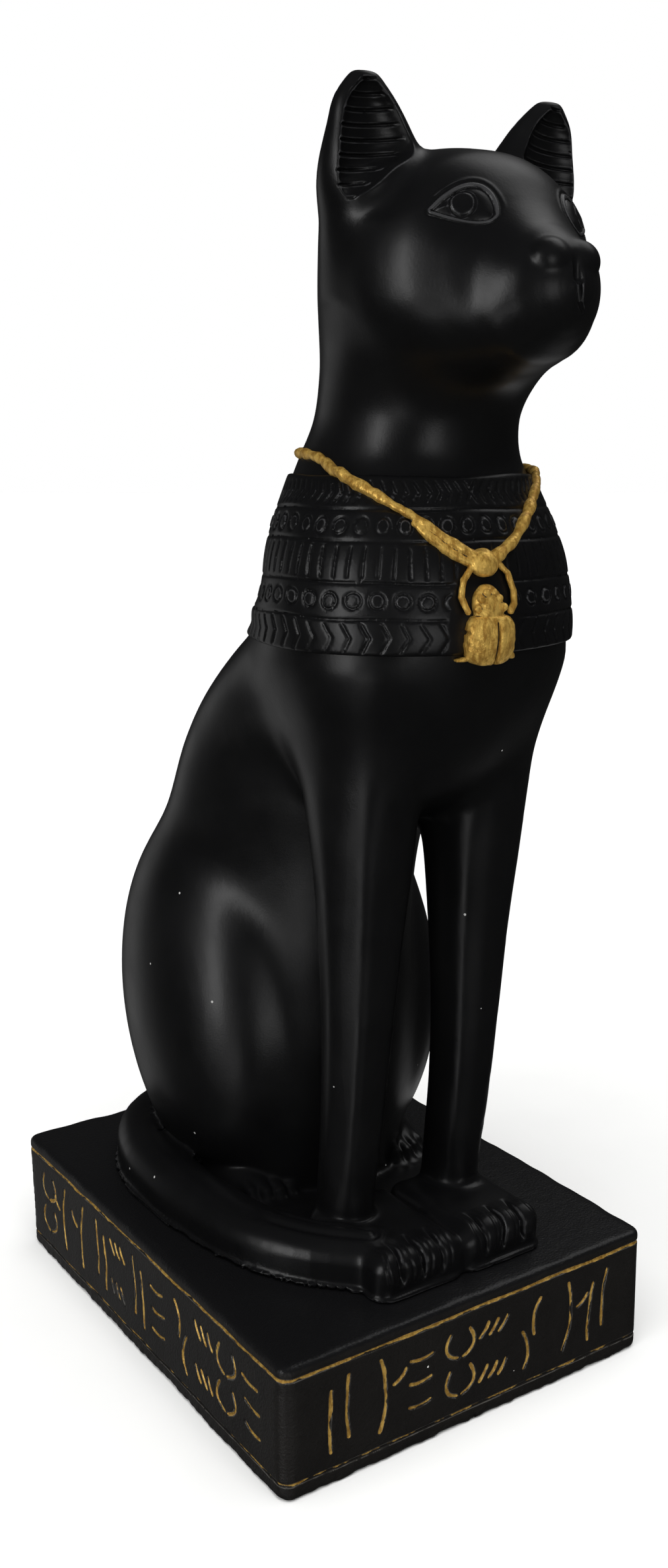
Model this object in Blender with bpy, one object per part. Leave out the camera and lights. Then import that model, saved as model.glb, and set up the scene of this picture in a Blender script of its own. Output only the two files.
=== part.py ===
"""A seated Egyptian cat with a broad collar, a neck chain and a scarab pendant, on a low plinth.

The cat is one casting: trunk, chest, legs, tail, head, collar and chain are blended into one solid.
The plinth is a second solid under it. Frame: metres, +Z up, the plinth's underside at z = 0 and its
centre at x = y = 0. The cat looks along -Y, and its tail lies round its right side, at -X.
"""

import math

import bmesh
import bpy
import numpy as np
from mathutils import Matrix, Vector

MM = 0.001

# Driving dimensions of the plinth
PLINTH_WIDTH = 112.2 * MM
PLINTH_LENGTH = 143.4 * MM
PLINTH_HEIGHT = 34.2 * MM
PLINTH_CORNER = 3.2 * MM
JOINT_GAP = 0.3 * MM

# Driving dimensions of the cat
CAT_X = 2.9 * MM
CAT_BASE = PLINTH_HEIGHT + JOINT_GAP
COLLAR_BOTTOM = 190.4 * MM
COLLAR_TOP = 228.5 * MM
COLLAR_PROUD = 1.2 * MM
CHAIN_RADIUS = 1.7 * MM
CHAIN_END_X = 24.0 * MM
CHAIN_STEPS = 16
CHAIN_LIFT = 0.7
WIDEST = 0.98
PENDANT_X = -2.6 * MM
VOXEL = 1.3 * MM
MASS_ROUNDS = 22
DETAIL_ROUNDS = 4
FACE_SHARE = 0.055
BASE_CUT = 0.3

RING_SIDES = 40
RING_STEP = 4.0 * MM
BALL_SIDES = 28
SMALL_SIDES = 16
EDGE_STEPS = 4
BLACK_ROUGHNESS = 0.36
PLINTH_ROUGHNESS = 0.6

# Sections by height, in millimetres:
# height, centre y, half width, half depth, squareness, centre x, how much wider the back is
TRUNK = [
    (29, 21, 28.5, 34.5, 2.5, 0, 0.10),
    (45, 21.3, 30.5, 36.5, 2.5, 0, 0.10),
    (60, 20.3, 31.5, 38.8, 2.4, 0, 0.10),
    (90, 18, 31, 41, 2.4, 0, 0.15),
    (110, 16.5, 31.4, 40.5, 2.3, 0, 0.23),
    (130, 12, 32.2, 38.5, 2.2, 0, 0.25),
    (145, 6, 32.6, 35.8, 2.2, 0, 0.22),
    (160, -0.5, 32.6, 34.4, 2.2, 0, 0.18),
    (175, -12, 33.8, 34.4, 2.2, 0, 0.05),
    (185, -21, 32.6, 33, 2.2, 0, 0),
    (194, -30, 30.2, 29.8, 2.2, 0, 0),
]
CHEST = [
    (147, -34, 12, 9.5, 2.2, 0, 0),
    (153, -35.5, 20, 16.5, 2.2, 0, 0),
    (161, -37, 26.3, 22, 2.2, 0, 0),
    (172, -38.5, 31.5, 27, 2.2, 0, 0),
    (187, -39, 35.7, 31.5, 2.2, 0, -0.03),
    (195, -39, 36.4, 32.7, 2.1, 0, -0.03),
    (205, -38, 35.5, 32.3, 2.1, 0, -0.05),
    (215, -37, 33.2, 30.7, 2.1, 0, -0.05),
    (225, -36, 29.0, 27.7, 2.1, 0, -0.05),
    (232, -35.5, 25.3, 26.0, 2.1, 0, -0.04),
    (240, -38, 23.1, 24.1, 2.1, 0, -0.02),
    (250, -41.5, 23.8, 23.9, 2.1, 0, -0.03),
    (262, -43, 24.4, 24.2, 2.1, 0, -0.08),
    (275, -43.5, 24.4, 24.2, 2.1, 0, -0.12),
]
FORELEG = [
    (33, -34, 6.8, 8.6, 2.2, 17.0, 0),
    (55, -35.5, 6.5, 8.1, 2.2, 16.9, 0),
    (71, -37.5, 6.9, 8.3, 2.2, 17.0, 0),
    (95, -39.5, 7.9, 9.0, 2.2, 17.0, 0),
    (120, -40.5, 9.5, 10.6, 2.2, 16.8, 0),
    (140, -41, 11.1, 12.9, 2.2, 16.7, 0),
    (155, -40.5, 12.2, 16, 2.2, 16.6, 0),
    (170, -39.5, 13.7, 19.4, 2.2, 16.8, 0),
    (185, -38.5, 16, 23, 2.2, 18.0, 0),
]
EAR = [
    (266, -45, 11.3, 12, 2.0, 16.4, 0),
    (280, -48, 13.1, 12, 2.0, 17.6, 0),
    (289, -50, 13.3, 9.5, 2.0, 20.3, 0),
    (299, -51.5, 10.1, 5.8, 2.0, 22.7, 0),
    (305, -52.3, 7.0, 3.8, 2.0, 24.4, 0),
    (309.4, -53, 3.0, 2.0, 2.0, 25.2, 0),
]

# Sections of the head from back to front, in millimetres:
# y, centre height, half width, half height, squareness, centre x, how much wider the top is
HEAD = [
    (-90.0, 265.2, 5.0, 4.5, 2.5, 0, 0),
    (-89.4, 265.4, 8.0, 7.4, 2.5, 0, 0),
    (-88.0, 265.7, 10.2, 9.2, 2.4, 0, 0),
    (-85.5, 265.8, 12.1, 11.1, 2.3, 0, -0.03),
    (-82, 265.5, 13.9, 13.4, 2.2, 0, -0.08),
    (-78, 267.0, 16.3, 16.4, 2.2, 0, -0.08),
    (-74, 269.3, 19.8, 19.7, 2.2, 0, -0.03),
    (-68, 271.4, 24.4, 22.2, 2.2, 0, -0.06),
    (-60, 272.7, 27.6, 23.3, 2.2, 0, -0.10),
    (-50, 273.5, 27.8, 23.5, 2.2, 0, -0.05),
    (-40, 273, 24.6, 23, 2.2, 0, 0),
    (-31, 272, 18.8, 21, 2.2, 0, 0),
    (-25, 271, 13.5, 17.5, 2.2, 0, 0),
    (-21, 270, 8.2, 12, 2.2, 0, 0),
]

# Rounded masses of one side, in millimetres: centre (x, y, z), radii, tilt about x in degrees
THIGH = ((23.5, 23.5, 86), (19.5, 35, 49), -8)
ANKLE = ((16, -40, 41), (10.5, 14, 12), 0)
HIND_FOOT = ((25, 5, 36), (9, 21, 11), 0)
EAR_HOLLOW = ((23.2, -61.0, 294), (8.0, 7.5, 15.0), -9)
EAR_LEAN = 12.0

# Front paw: a rounded block with four toes across its front, in millimetres
PAW_CENTRE = (13.2, -45.5, 37.5)
PAW_SIZE = (24.4, 33.0, 14.0)
PAW_ROUNDING = 5.0
TOE_COUNT = 4
TOE_PITCH = 5.9
TOE_RADII = (3.4, 5.0, 7.2)
TOE_TILT = 8
TOE_Y = -58.4
TOE_Z = 37.0
HIND_TOE_PITCH = 4.0
HIND_TOE_RADII = (2.4, 5.0, 4.6)
HIND_TOE_Y = -13.0

# Tail: a route on the plinth round the right side, in millimetres: x, y, radius
TAIL_HEIGHT = 40.0
TAIL_FLATNESS = 0.85
TAIL_ROUTE = [
    (6, 56, 8.6),
    (-14, 56, 8.5),
    (-30, 47.5, 8.3),
    (-38.5, 33, 8.1),
    (-41.3, 12, 7.9),
    (-40.4, -8, 7.7),
    (-37, -26, 7.5),
    (-30, -39.5, 7.3),
    (-20.5, -50, 7.2),
]
TAIL_STEPS = 44

# Scarab on the chest, in millimetres: centre height, radii (half width, depth, half height)
SCARAB_Z = 196.0
SCARAB_RADII = (5.4, 3.6, 8.6)
DISC_Z = 210.0
DISC_RADIUS = 3.3
PENDANT_LIFT = 0.8

BLACK_RESIN = (0.012, 0.012, 0.013, 1.0)
PLINTH_BLACK = (0.022, 0.022, 0.023, 1.0)


def clear_scene():
    for thing in list(bpy.data.objects):
        bpy.data.objects.remove(thing, do_unlink=True)


def make_material(name, color, roughness, metallic):
    material = bpy.data.materials.new(name)
    material.use_nodes = True
    shader = material.node_tree.nodes["Principled BSDF"]
    shader.inputs["Base Color"].default_value = color
    shader.inputs["Roughness"].default_value = roughness
    shader.inputs["Metallic"].default_value = metallic
    return material


def smooth_between(position, stops, values):
    """Smooth curve through the values at the stops, one cubic piece between each two stops."""
    stops = np.asarray(stops, float)
    values = np.asarray(values, float)
    slopes = np.gradient(values, stops)
    position = np.clip(position, stops[0], stops[-1])
    index = np.clip(np.searchsorted(stops, position) - 1, 0, len(stops) - 2)
    step = stops[index + 1] - stops[index]
    t = (position - stops[index]) / step
    start = (2 * t**3 - 3 * t**2 + 1) * values[index] + (t**3 - 2 * t**2 + t) * step * slopes[index]
    end = (-2 * t**3 + 3 * t**2) * values[index + 1] + (t**3 - t**2) * step * slopes[index + 1]
    return start + end


def section_at(height, stations):
    """Centre x, centre y, half width, half depth, squareness and back swell at one height."""
    heights = [row[0] * MM for row in stations]
    columns = list(zip(*stations))
    centre_y, half_width, half_depth = (
        smooth_between(height, heights, columns[i]) * MM for i in (1, 2, 3)
    )
    squareness = smooth_between(height, heights, columns[4])
    centre_x = smooth_between(height, heights, columns[5]) * MM
    swell = smooth_between(height, heights, columns[6])
    return centre_x, centre_y, half_width, half_depth, squareness, swell


def ring_points(place, stations, side, grow, lying):
    """Points of one closed section: a superellipse whose back may be wider than its front."""
    centre_x, centre, half_width, half_depth, squareness, swell = section_at(place, stations)
    points = []
    for i in range(RING_SIDES):
        angle = 2 * math.pi * i / RING_SIDES
        across = math.copysign(abs(math.cos(angle)) ** (2 / squareness), math.cos(angle))
        along = math.copysign(abs(math.sin(angle)) ** (2 / squareness), math.sin(angle))
        x = CAT_X + side * centre_x + (half_width + grow) * across * (1 + swell * along)
        other = centre + (half_depth + grow) * along
        points.append(Vector((x, place, other) if lying else (x, other, place)))
    return points


def loft(bm, stations, side=1, bottom=None, top=None, grow=0.0, lying=False):
    """Closed skin through the sections of a standing or lying mass, added to bm as its own body."""
    low = stations[0][0] * MM if bottom is None else bottom
    high = stations[-1][0] * MM if top is None else top
    count = max(2, round((high - low) / RING_STEP))
    places = sorted({*np.linspace(low, high, count + 1), *(row[0] * MM for row in stations if lying)})
    rings = []
    for place in places:
        verts = [bm.verts.new(p) for p in ring_points(float(place), stations, side, grow, lying)]
        edges = [bm.edges.new((verts[i - 1], verts[i])) for i in range(RING_SIDES)]
        rings.append(edges)
    for lower, upper in zip(rings, rings[1:]):
        bmesh.ops.bridge_loops(bm, edges=lower + upper)
    for edges in (rings[0], rings[-1]):
        bmesh.ops.edgeloop_fill(bm, edges=edges)


def ball(bm, mass, side=1, segments=BALL_SIDES):
    """Ellipsoid given as centre, radii and tilt about x, all in millimetres and degrees."""
    centre, radii, tilt = mass
    place = Matrix.Translation((CAT_X + side * centre[0] * MM, centre[1] * MM, centre[2] * MM))
    turn = Matrix.Rotation(math.radians(tilt), 4, "X")
    size = Matrix.Diagonal((*[r * MM for r in radii], 1.0))
    bmesh.ops.create_uvsphere(
        bm, u_segments=segments, v_segments=segments // 2, radius=1.0, matrix=place @ turn @ size
    )


def paw(bm, side):
    """Rounded block under the foreleg with a row of toes across its front."""
    centre = Vector((CAT_X + side * PAW_CENTRE[0] * MM, PAW_CENTRE[1] * MM, PAW_CENTRE[2] * MM))
    size = Matrix.Diagonal((*[s * MM for s in PAW_SIZE], 1.0))
    block = bmesh.ops.create_cube(bm, size=1.0, matrix=Matrix.Translation(centre) @ size)
    edges = {edge for vert in block["verts"] for edge in vert.link_edges}
    bmesh.ops.bevel(
        bm, geom=list(edges), offset=PAW_ROUNDING * MM, segments=EDGE_STEPS, profile=0.5, affect="EDGES"
    )
    for i in range(TOE_COUNT):
        offset = (i - (TOE_COUNT - 1) / 2) * TOE_PITCH
        ball(bm, ((PAW_CENTRE[0] + offset, TOE_Y, TOE_Z), TOE_RADII, TOE_TILT), side, SMALL_SIDES)


def hind_foot(bm, side):
    ball(bm, HIND_FOOT, side)
    for i in range(TOE_COUNT):
        offset = (i - (TOE_COUNT - 1) / 2) * HIND_TOE_PITCH
        centre = (HIND_FOOT[0][0] + offset, HIND_TOE_Y, TOE_Z)
        ball(bm, (centre, HIND_TOE_RADII, 0), side, SMALL_SIDES)


def tube_mesh(name, points, radii, flatness):
    """Round bar along a route, from a curve with a bevel, as mesh data."""
    curve = bpy.data.curves.new(name, "CURVE")
    curve.dimensions = "3D"
    curve.bevel_depth = 1.0
    curve.bevel_resolution = 5
    curve.use_fill_caps = True
    spline = curve.splines.new("POLY")
    spline.points.add(len(points) - 1)
    for point, place, radius in zip(spline.points, points, radii):
        point.co = (place[0], place[1], place[2] / flatness, 1.0)
        point.radius = radius
    holder = bpy.data.objects.new(name, curve)
    bpy.context.scene.collection.objects.link(holder)
    bpy.context.view_layer.update()
    graph = bpy.context.evaluated_depsgraph_get()
    mesh = bpy.data.meshes.new_from_object(holder.evaluated_get(graph))
    mesh.transform(Matrix.Diagonal((1.0, 1.0, flatness, 1.0)))
    bpy.data.objects.remove(holder, do_unlink=True)
    return mesh


def tail(bm):
    """Tail on the plinth, from the rump round the right side to a blunt tip at the front paw."""
    xs, ys, radii = (np.array(column) for column in zip(*TAIL_ROUTE))
    lengths = np.concatenate([[0.0], np.cumsum(np.hypot(np.diff(xs), np.diff(ys)))])
    along = np.linspace(0.0, lengths[-1], TAIL_STEPS)
    route = [
        (CAT_X + x * MM, y * MM, TAIL_HEIGHT * MM)
        for x, y in zip(smooth_between(along, lengths, xs), smooth_between(along, lengths, ys))
    ]
    thickness = smooth_between(along, lengths, radii) * MM
    bm.from_mesh(tube_mesh("tail_route", route, thickness, TAIL_FLATNESS))
    for x, y, radius in (TAIL_ROUTE[0], TAIL_ROUTE[-1]):
        ball(bm, ((x, y, TAIL_HEIGHT), (radius, radius, radius * TAIL_FLATNESS), 0), 1, SMALL_SIDES)


def chest_front(x, height):
    """The collar's front surface at one place across the chest."""
    _, centre_y, half_width, half_depth, squareness, _ = section_at(height, CHEST)
    across = min(WIDEST, abs(x - CAT_X) / half_width)
    return centre_y - half_depth * (1 - across**squareness) ** (1 / squareness)


def chain(bm, side):
    """One strand of the neck chain, from beside the neck down to the disc on the chest."""
    start_x = CAT_X + side * CHAIN_END_X
    points = []
    for t in np.linspace(0.0, 1.0, CHAIN_STEPS):
        x = (1 - t) * start_x + t * PENDANT_X
        z = (1 - t) * COLLAR_TOP + t * DISC_Z * MM
        points.append((x, chest_front(x, z) - COLLAR_PROUD * CHAIN_LIFT, z))
    bm.from_mesh(tube_mesh("chain_route", points, [CHAIN_RADIUS] * len(points), 1.0))


def pendant(bm):
    for height, radii in (
        (SCARAB_Z, SCARAB_RADII),
        (DISC_Z, (DISC_RADIUS, DISC_RADIUS, DISC_RADIUS)),
    ):
        y = chest_front(PENDANT_X, height * MM) - COLLAR_PROUD * PENDANT_LIFT
        centre = ((PENDANT_X - CAT_X) / MM, y / MM, height)
        ball(bm, (centre, radii, 0), 1, SMALL_SIDES)


def new_object(name, bm, material):
    bmesh.ops.recalc_face_normals(bm, faces=bm.faces)
    mesh = bpy.data.meshes.new(name)
    bm.to_mesh(mesh)
    bm.free()
    if material is not None:
        mesh.materials.append(material)
    thing = bpy.data.objects.new(name, mesh)
    bpy.context.scene.collection.objects.link(thing)
    return thing


def make_cutter(name, bm):
    cutter = new_object(name, bm, None)
    cutter.hide_render = True
    cutter.display_type = "WIRE"
    return cutter


def add_cut(target, cutter):
    cut = target.modifiers.new(cutter.name, "BOOLEAN")
    cut.operation = "DIFFERENCE"
    cut.solver = "EXACT"
    cut.object = cutter


def make_ear_hollow(name, side):
    bm = bmesh.new()
    ball(bm, EAR_HOLLOW, side)
    cutter = make_cutter(name, bm)
    lean = Matrix.Rotation(math.radians(side * EAR_LEAN), 4, "Y")
    pivot = Vector((CAT_X + side * EAR_HOLLOW[0][0] * MM, 0.0, EAR_HOLLOW[0][2] * MM))
    cutter.data.transform(Matrix.Translation(pivot) @ lean @ Matrix.Translation(-pivot))
    return cutter


def blend(thing, rounds):
    """Voxel skin over overlapping masses, with the joins between them softened."""
    skin = thing.modifiers.new("skin", "REMESH")
    skin.mode = "VOXEL"
    skin.voxel_size = VOXEL
    soften = thing.modifiers.new("soften", "SMOOTH")
    soften.factor = 0.5
    soften.iterations = rounds


def main_masses():
    """Trunk, chest, legs and head as one softly blended mesh."""
    bm = bmesh.new()
    loft(bm, TRUNK)
    loft(bm, CHEST)
    loft(bm, HEAD, lying=True)
    for side in (-1, 1):
        loft(bm, FORELEG, side)
        for mass in (THIGH, ANKLE):
            ball(bm, mass, side)
    masses = new_object("masses", bm, None)
    blend(masses, MASS_ROUNDS)
    graph = bpy.context.evaluated_depsgraph_get()
    mesh = bpy.data.meshes.new_from_object(masses.evaluated_get(graph))
    bpy.data.objects.remove(masses, do_unlink=True)
    return mesh


def make_cat(material):
    """The blended masses with ears, paws, tail, collar and chain, cut flat below."""
    bm = bmesh.new()
    bm.from_mesh(main_masses())
    loft(bm, CHEST, bottom=COLLAR_BOTTOM, top=COLLAR_TOP, grow=COLLAR_PROUD)
    for side in (-1, 1):
        loft(bm, EAR, side)
        paw(bm, side)
        hind_foot(bm, side)
        chain(bm, side)
    tail(bm)
    pendant(bm)
    cat = new_object("cat", bm, material)
    blend(cat, DETAIL_ROUNDS)
    thin = cat.modifiers.new("thin", "DECIMATE")
    thin.ratio = FACE_SHARE

    for name, side in (("right_ear_hollow", -1), ("left_ear_hollow", 1)):
        add_cut(cat, make_ear_hollow(name, side))
    bm = bmesh.new()
    below = Matrix.Translation((0.0, 0.0, CAT_BASE - BASE_CUT / 2)) @ Matrix.Scale(BASE_CUT, 4)
    bmesh.ops.create_cube(bm, size=1.0, matrix=below)
    add_cut(cat, make_cutter("flat_base", bm))
    return cat


def make_plinth(material):
    """Low block with softly rounded edges."""
    bm = bmesh.new()
    size = Matrix.Diagonal((PLINTH_WIDTH, PLINTH_LENGTH, PLINTH_HEIGHT, 1.0))
    place = Matrix.Translation((0.0, 0.0, PLINTH_HEIGHT / 2))
    bmesh.ops.create_cube(bm, size=1.0, matrix=place @ size)
    plinth = new_object("plinth", bm, material)
    rounding = plinth.modifiers.new("rounding", "BEVEL")
    rounding.width = PLINTH_CORNER
    rounding.segments = EDGE_STEPS
    rounding.limit_method = "ANGLE"
    return plinth


def main():
    clear_scene()
    cat = make_cat(make_material("black_resin", BLACK_RESIN, BLACK_ROUGHNESS, 0.0))
    cat.data.shade_smooth()
    make_plinth(make_material("plinth_black", PLINTH_BLACK, PLINTH_ROUGHNESS, 0.0))


main()
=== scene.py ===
# %% [markdown]
# A seated Egyptian cat on a plinth. The real figure was modelled in clay, moulded, and cast in black
# resin, and then gilded with a brush. This notebook builds it the same way round: soft masses first,
# then the carving, then the paint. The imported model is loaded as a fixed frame, so that every piece
# keeps the place and size that the frame gives.

# %% Load the frame
import math

import bpy
import numpy as np
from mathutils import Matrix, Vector


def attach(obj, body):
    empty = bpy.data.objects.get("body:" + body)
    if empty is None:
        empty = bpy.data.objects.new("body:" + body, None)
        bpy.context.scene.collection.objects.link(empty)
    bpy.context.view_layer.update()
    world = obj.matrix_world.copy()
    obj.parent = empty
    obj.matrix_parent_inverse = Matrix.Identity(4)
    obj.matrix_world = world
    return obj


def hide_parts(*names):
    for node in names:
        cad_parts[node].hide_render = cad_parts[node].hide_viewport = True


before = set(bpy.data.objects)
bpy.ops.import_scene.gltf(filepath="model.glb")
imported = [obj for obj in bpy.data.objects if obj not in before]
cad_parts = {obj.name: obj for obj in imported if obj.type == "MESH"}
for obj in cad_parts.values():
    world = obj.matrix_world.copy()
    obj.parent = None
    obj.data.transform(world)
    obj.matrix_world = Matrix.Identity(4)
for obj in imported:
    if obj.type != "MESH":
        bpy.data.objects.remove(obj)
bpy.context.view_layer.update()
MM = 0.001
CAT_X = 2.9
CAT_BASE = 34.5

# %% [markdown]
# The camera stands to the cat's right and a little below its eyes, and looks slightly down. It
# comes first, because each detail is judged through it.

# %% Camera
CAMERA_PLACE = (-0.21175, -0.32186, 0.2332)
CAMERA_TURN = math.radians(-34.1)
CAMERA_DIP = math.radians(12.5)
LENS = 34.24

camera = bpy.data.objects.new("camera", bpy.data.cameras.new("camera"))
bpy.context.scene.collection.objects.link(camera)
bpy.context.scene.camera = camera
camera.location = CAMERA_PLACE
back = Vector(
    (
        math.sin(CAMERA_TURN) * math.cos(CAMERA_DIP),
        -math.cos(CAMERA_TURN) * math.cos(CAMERA_DIP),
        math.sin(CAMERA_DIP),
    )
)
camera.rotation_mode = "QUATERNION"
camera.rotation_quaternion = (-back).to_track_quat("-Z", "Y")
camera.data.sensor_width = 36.0
camera.data.lens = LENS
camera.data.clip_start = 0.01
camera.data.clip_end = 20.0
print("camera looks", [round(v, 3) for v in -back])

# %% [markdown]
# The cat is smooth clay with no flat places, so its form is written as a distance: a function that
# says how far each point is outside the skin. Masses are joined with a soft minimum, which leaves
# the same fillet that a thumb leaves in clay. It could be sculpted by hand or joined with metaballs,
# but then the sizes of the legs and ears would not stay in step with the frame.
# All sizes in these cells are in millimetres.

# %% Distances of simple masses
def along(place, stations):
    """Smooth values between the stations of a table, whose first column is the place."""
    rows = np.asarray(stations, float)
    stops, values = rows[:, 0], rows[:, 1:]
    slopes = np.gradient(values, stops, axis=0)
    place = np.clip(place, stops[0], stops[-1])
    index = np.clip(np.searchsorted(stops, place) - 1, 0, len(stops) - 2)
    step = (stops[index + 1] - stops[index])[:, None]
    t = (place - stops[index])[:, None] / step
    start = (2 * t**3 - 3 * t**2 + 1) * values[index] + (t**3 - 2 * t**2 + t) * step * slopes[index]
    end = (-2 * t**3 + 3 * t**2) * values[index + 1] + (t**3 - t**2) * step * slopes[index + 1]
    return (start + end).T


def join(first, second, softness):
    """Soft minimum: both masses, with a fillet where they meet."""
    fillet = np.maximum(softness - np.abs(first - second), 0) / softness
    return np.minimum(first, second) - fillet**3 * softness / 6


def cut(mass, other, softness):
    """Soft maximum of the mass and the space outside the other."""
    return -join(-mass, other, softness)


def loft(points, stations, lying=False):
    """Distance to a skin through rounded sections, standing along z or lying along y."""
    across, other, place = points[:, 0], points[:, 1], points[:, 2]
    if lying:
        other, place = place, other
    centre, half_width, half_depth, square, middle, swell = along(place, stations)
    other = other - centre
    across = (across - middle) / (1 + swell * np.clip(other / half_depth, -1, 1))
    u = np.abs(across) / half_width + 1e-6
    v = np.abs(other) / half_depth + 1e-6
    total = u**square + v**square
    slope = np.sqrt((u ** (square - 1) / half_width) ** 2 + (v ** (square - 1) / half_depth) ** 2)
    slope = slope * total ** (1 / square - 1)
    side = (total ** (1 / square) - 1) / np.maximum(slope, 1 / np.maximum(half_width, half_depth))
    low, high = stations[0][0], stations[-1][0]
    return cut(cut(side, place - low, 2.0), high - place, 2.0)


def turned(points, degrees):
    """The points seen by a mass that is tilted about x."""
    c, s = math.cos(math.radians(degrees)), math.sin(math.radians(degrees))
    x, y, z = points.T
    return np.stack([x, c * y + s * z, c * z - s * y], 1)


def ball(points, centre, radii, tilt=0.0):
    """Distance to an ellipsoid."""
    p = turned(points - np.asarray(centre, float), tilt)
    radii = np.asarray(radii, float)
    near = np.sqrt(((p / radii) ** 2).sum(1))
    slope = np.sqrt(((p / radii**2) ** 2).sum(1))
    return near * (near - 1) / np.maximum(slope, 1e-6)


def tube(points, path, radii, flatness=1.0):
    """Distance to a round bar along a path, flattened in z."""
    path, radii = np.asarray(path, float), np.asarray(radii, float)
    best = np.full(len(points), 1e9)
    squeeze = np.array([1.0, 1.0, 1.0 / flatness])
    for a, b, ra, rb in zip(path, path[1:], radii, radii[1:]):
        run = b - a
        t = np.clip((points - a) @ run / (run @ run), 0, 1)
        gap = (points - a - t[:, None] * run) * squeeze
        best = np.minimum(best, np.sqrt((gap**2).sum(1)) - (ra + t * (rb - ra)))
    return best


def block(points, centre, size, rounding):
    """Distance to a box with rounded edges."""
    p = np.abs(points - np.asarray(centre, float)) - np.asarray(size, float) / 2 + rounding
    outside = np.sqrt((np.maximum(p, 0) ** 2).sum(1))
    return outside + np.minimum(p.max(1), 0) - rounding


def wobble(points, length, seed):
    """Gentle handmade unevenness, about -1 to 1, from a few sine waves in random directions."""
    random = np.random.default_rng(seed)
    total = np.zeros(len(points))
    for _ in range(6):
        direction = random.normal(size=3)
        direction *= 2 * math.pi / length / np.linalg.norm(direction) * random.uniform(0.7, 1.4)
        total += np.sin(points @ direction + random.uniform(0, 6.3))
    return total / 3.5


def cat_frame(points):
    """Points measured from the cat's middle plane, and the same points folded onto its left side."""
    own = points - np.array([CAT_X, 0, 0])
    folded = own.copy()
    folded[:, 0] = np.abs(folded[:, 0])
    return own, folded


# %% [markdown]
# A distance becomes a mesh in two steps. First a coarse net is laid where the distance changes sign.
# Then edges that are too long for the detail under them are split, and each new point slides onto
# the skin. Blender's Remesh modifier would give one size of face everywhere. Here the eyes get faces
# a third of a millimetre long, and the flanks get faces seven times as long.

# %% From distance to mesh
CORNERS = np.array([(i, j, k) for i in (0, 1) for j in (0, 1) for k in (0, 1)])


def sample(field, low, cell, count):
    """The distance on a grid: exact near the skin, and only its sign elsewhere."""
    coarse = 4
    blocks = (np.asarray(count) + coarse - 1) // coarse + 1
    axes = [low[i] + cell * coarse * np.arange(blocks[i]) for i in range(3)]
    grid = np.stack(np.meshgrid(*axes, indexing="ij"), -1).reshape(-1, 3)
    values = field(grid).reshape(blocks)
    near = np.abs(values) < cell * coarse * 2.2
    wanted = np.zeros(blocks - 1, bool)
    for i, j, k in CORNERS:
        wanted |= near[i : blocks[0] - 1 + i, j : blocks[1] - 1 + j, k : blocks[2] - 1 + k]
    full = np.kron(np.sign(values), np.ones((coarse, coarse, coarse))) * cell * 3
    offsets = np.stack(np.meshgrid(*[np.arange(coarse + 1)] * 3, indexing="ij"), -1).reshape(-1, 3)
    places = (np.argwhere(wanted)[:, None] * coarse + offsets[None]).reshape(-1, 3)
    places = places[(places < np.array(full.shape)).all(1)]
    mask = np.zeros(full.shape, bool)
    mask[tuple(places.T)] = True
    places = np.argwhere(mask)
    full[mask] = in_parts(field, np.asarray(low) + places * cell)
    return full


def in_parts(field, points, part=200000):
    return np.concatenate([field(points[i : i + part]) for i in range(0, len(points), part)])


def lay_net(values, low, cell):
    """One vertex in each cell that the skin crosses, and one quad round each crossed grid edge."""
    shape = np.array(values.shape)
    inside = values < 0
    count = np.zeros(shape - 1, np.int8)
    for i, j, k in CORNERS:
        count += inside[i : shape[0] - 1 + i, j : shape[1] - 1 + j, k : shape[2] - 1 + k]
    active = (count > 0) & (count < 8)
    cells = np.argwhere(active)
    number = np.full(shape - 1, -1, np.int64)
    number[active] = np.arange(len(cells))
    total, hits = np.zeros((len(cells), 3)), np.zeros(len(cells))
    for a in range(8):
        for b in range(a + 1, 8):
            if np.abs(CORNERS[a] - CORNERS[b]).sum() != 1:
                continue
            va = values[tuple((cells + CORNERS[a]).T)]
            vb = values[tuple((cells + CORNERS[b]).T)]
            crossed = (va < 0) != (vb < 0)
            t = np.where(crossed, va / np.where(crossed, va - vb, 1), 0)
            total += np.where(crossed[:, None], CORNERS[a] + (CORNERS[b] - CORNERS[a]) * t[:, None], 0)
            hits += crossed
    points = np.asarray(low) + (cells + total / hits[:, None]) * cell
    quads = []
    for axis in range(3):
        first = [slice(0, n - 1) if i == axis else slice(1, n - 1) for i, n in enumerate(shape)]
        second = [slice(1, n) if i == axis else slice(1, n - 1) for i, n in enumerate(shape)]
        before, after = inside[tuple(first)], inside[tuple(second)]
        edges = np.argwhere(before != after)
        outward = before[tuple(edges.T)]
        for i in range(3):
            if i != axis:
                edges[:, i] += 1
        u, v = (axis + 1) % 3, (axis + 2) % 3
        ring = []
        for du, dv in ((1, 1), (0, 1), (0, 0), (1, 0)):
            place = edges.copy()
            place[:, u] -= du
            place[:, v] -= dv
            ring.append(number[tuple(place.T)])
        ring = np.stack(ring, 1)
        ring[~outward] = ring[~outward][:, ::-1]
        quads.append(ring)
    return points, np.concatenate(quads)


def gradient(field, points, reach=0.04):
    steps = reach * np.eye(3)
    return np.stack([(field(points + s) - field(points - s)) / (2 * reach) for s in steps], 1)


def settle(field, points, rounds=2, limit=0.6):
    """Slides points along the gradient onto the skin."""
    for _ in range(rounds):
        distance = field(points)
        slope = gradient(field, points)
        move = slope * (distance / np.maximum((slope**2).sum(1), 0.05))[:, None]
        length = np.sqrt((move**2).sum(1))
        points = points - move * np.minimum(1, limit / np.maximum(length, 1e-9))[:, None]
    return points


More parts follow.
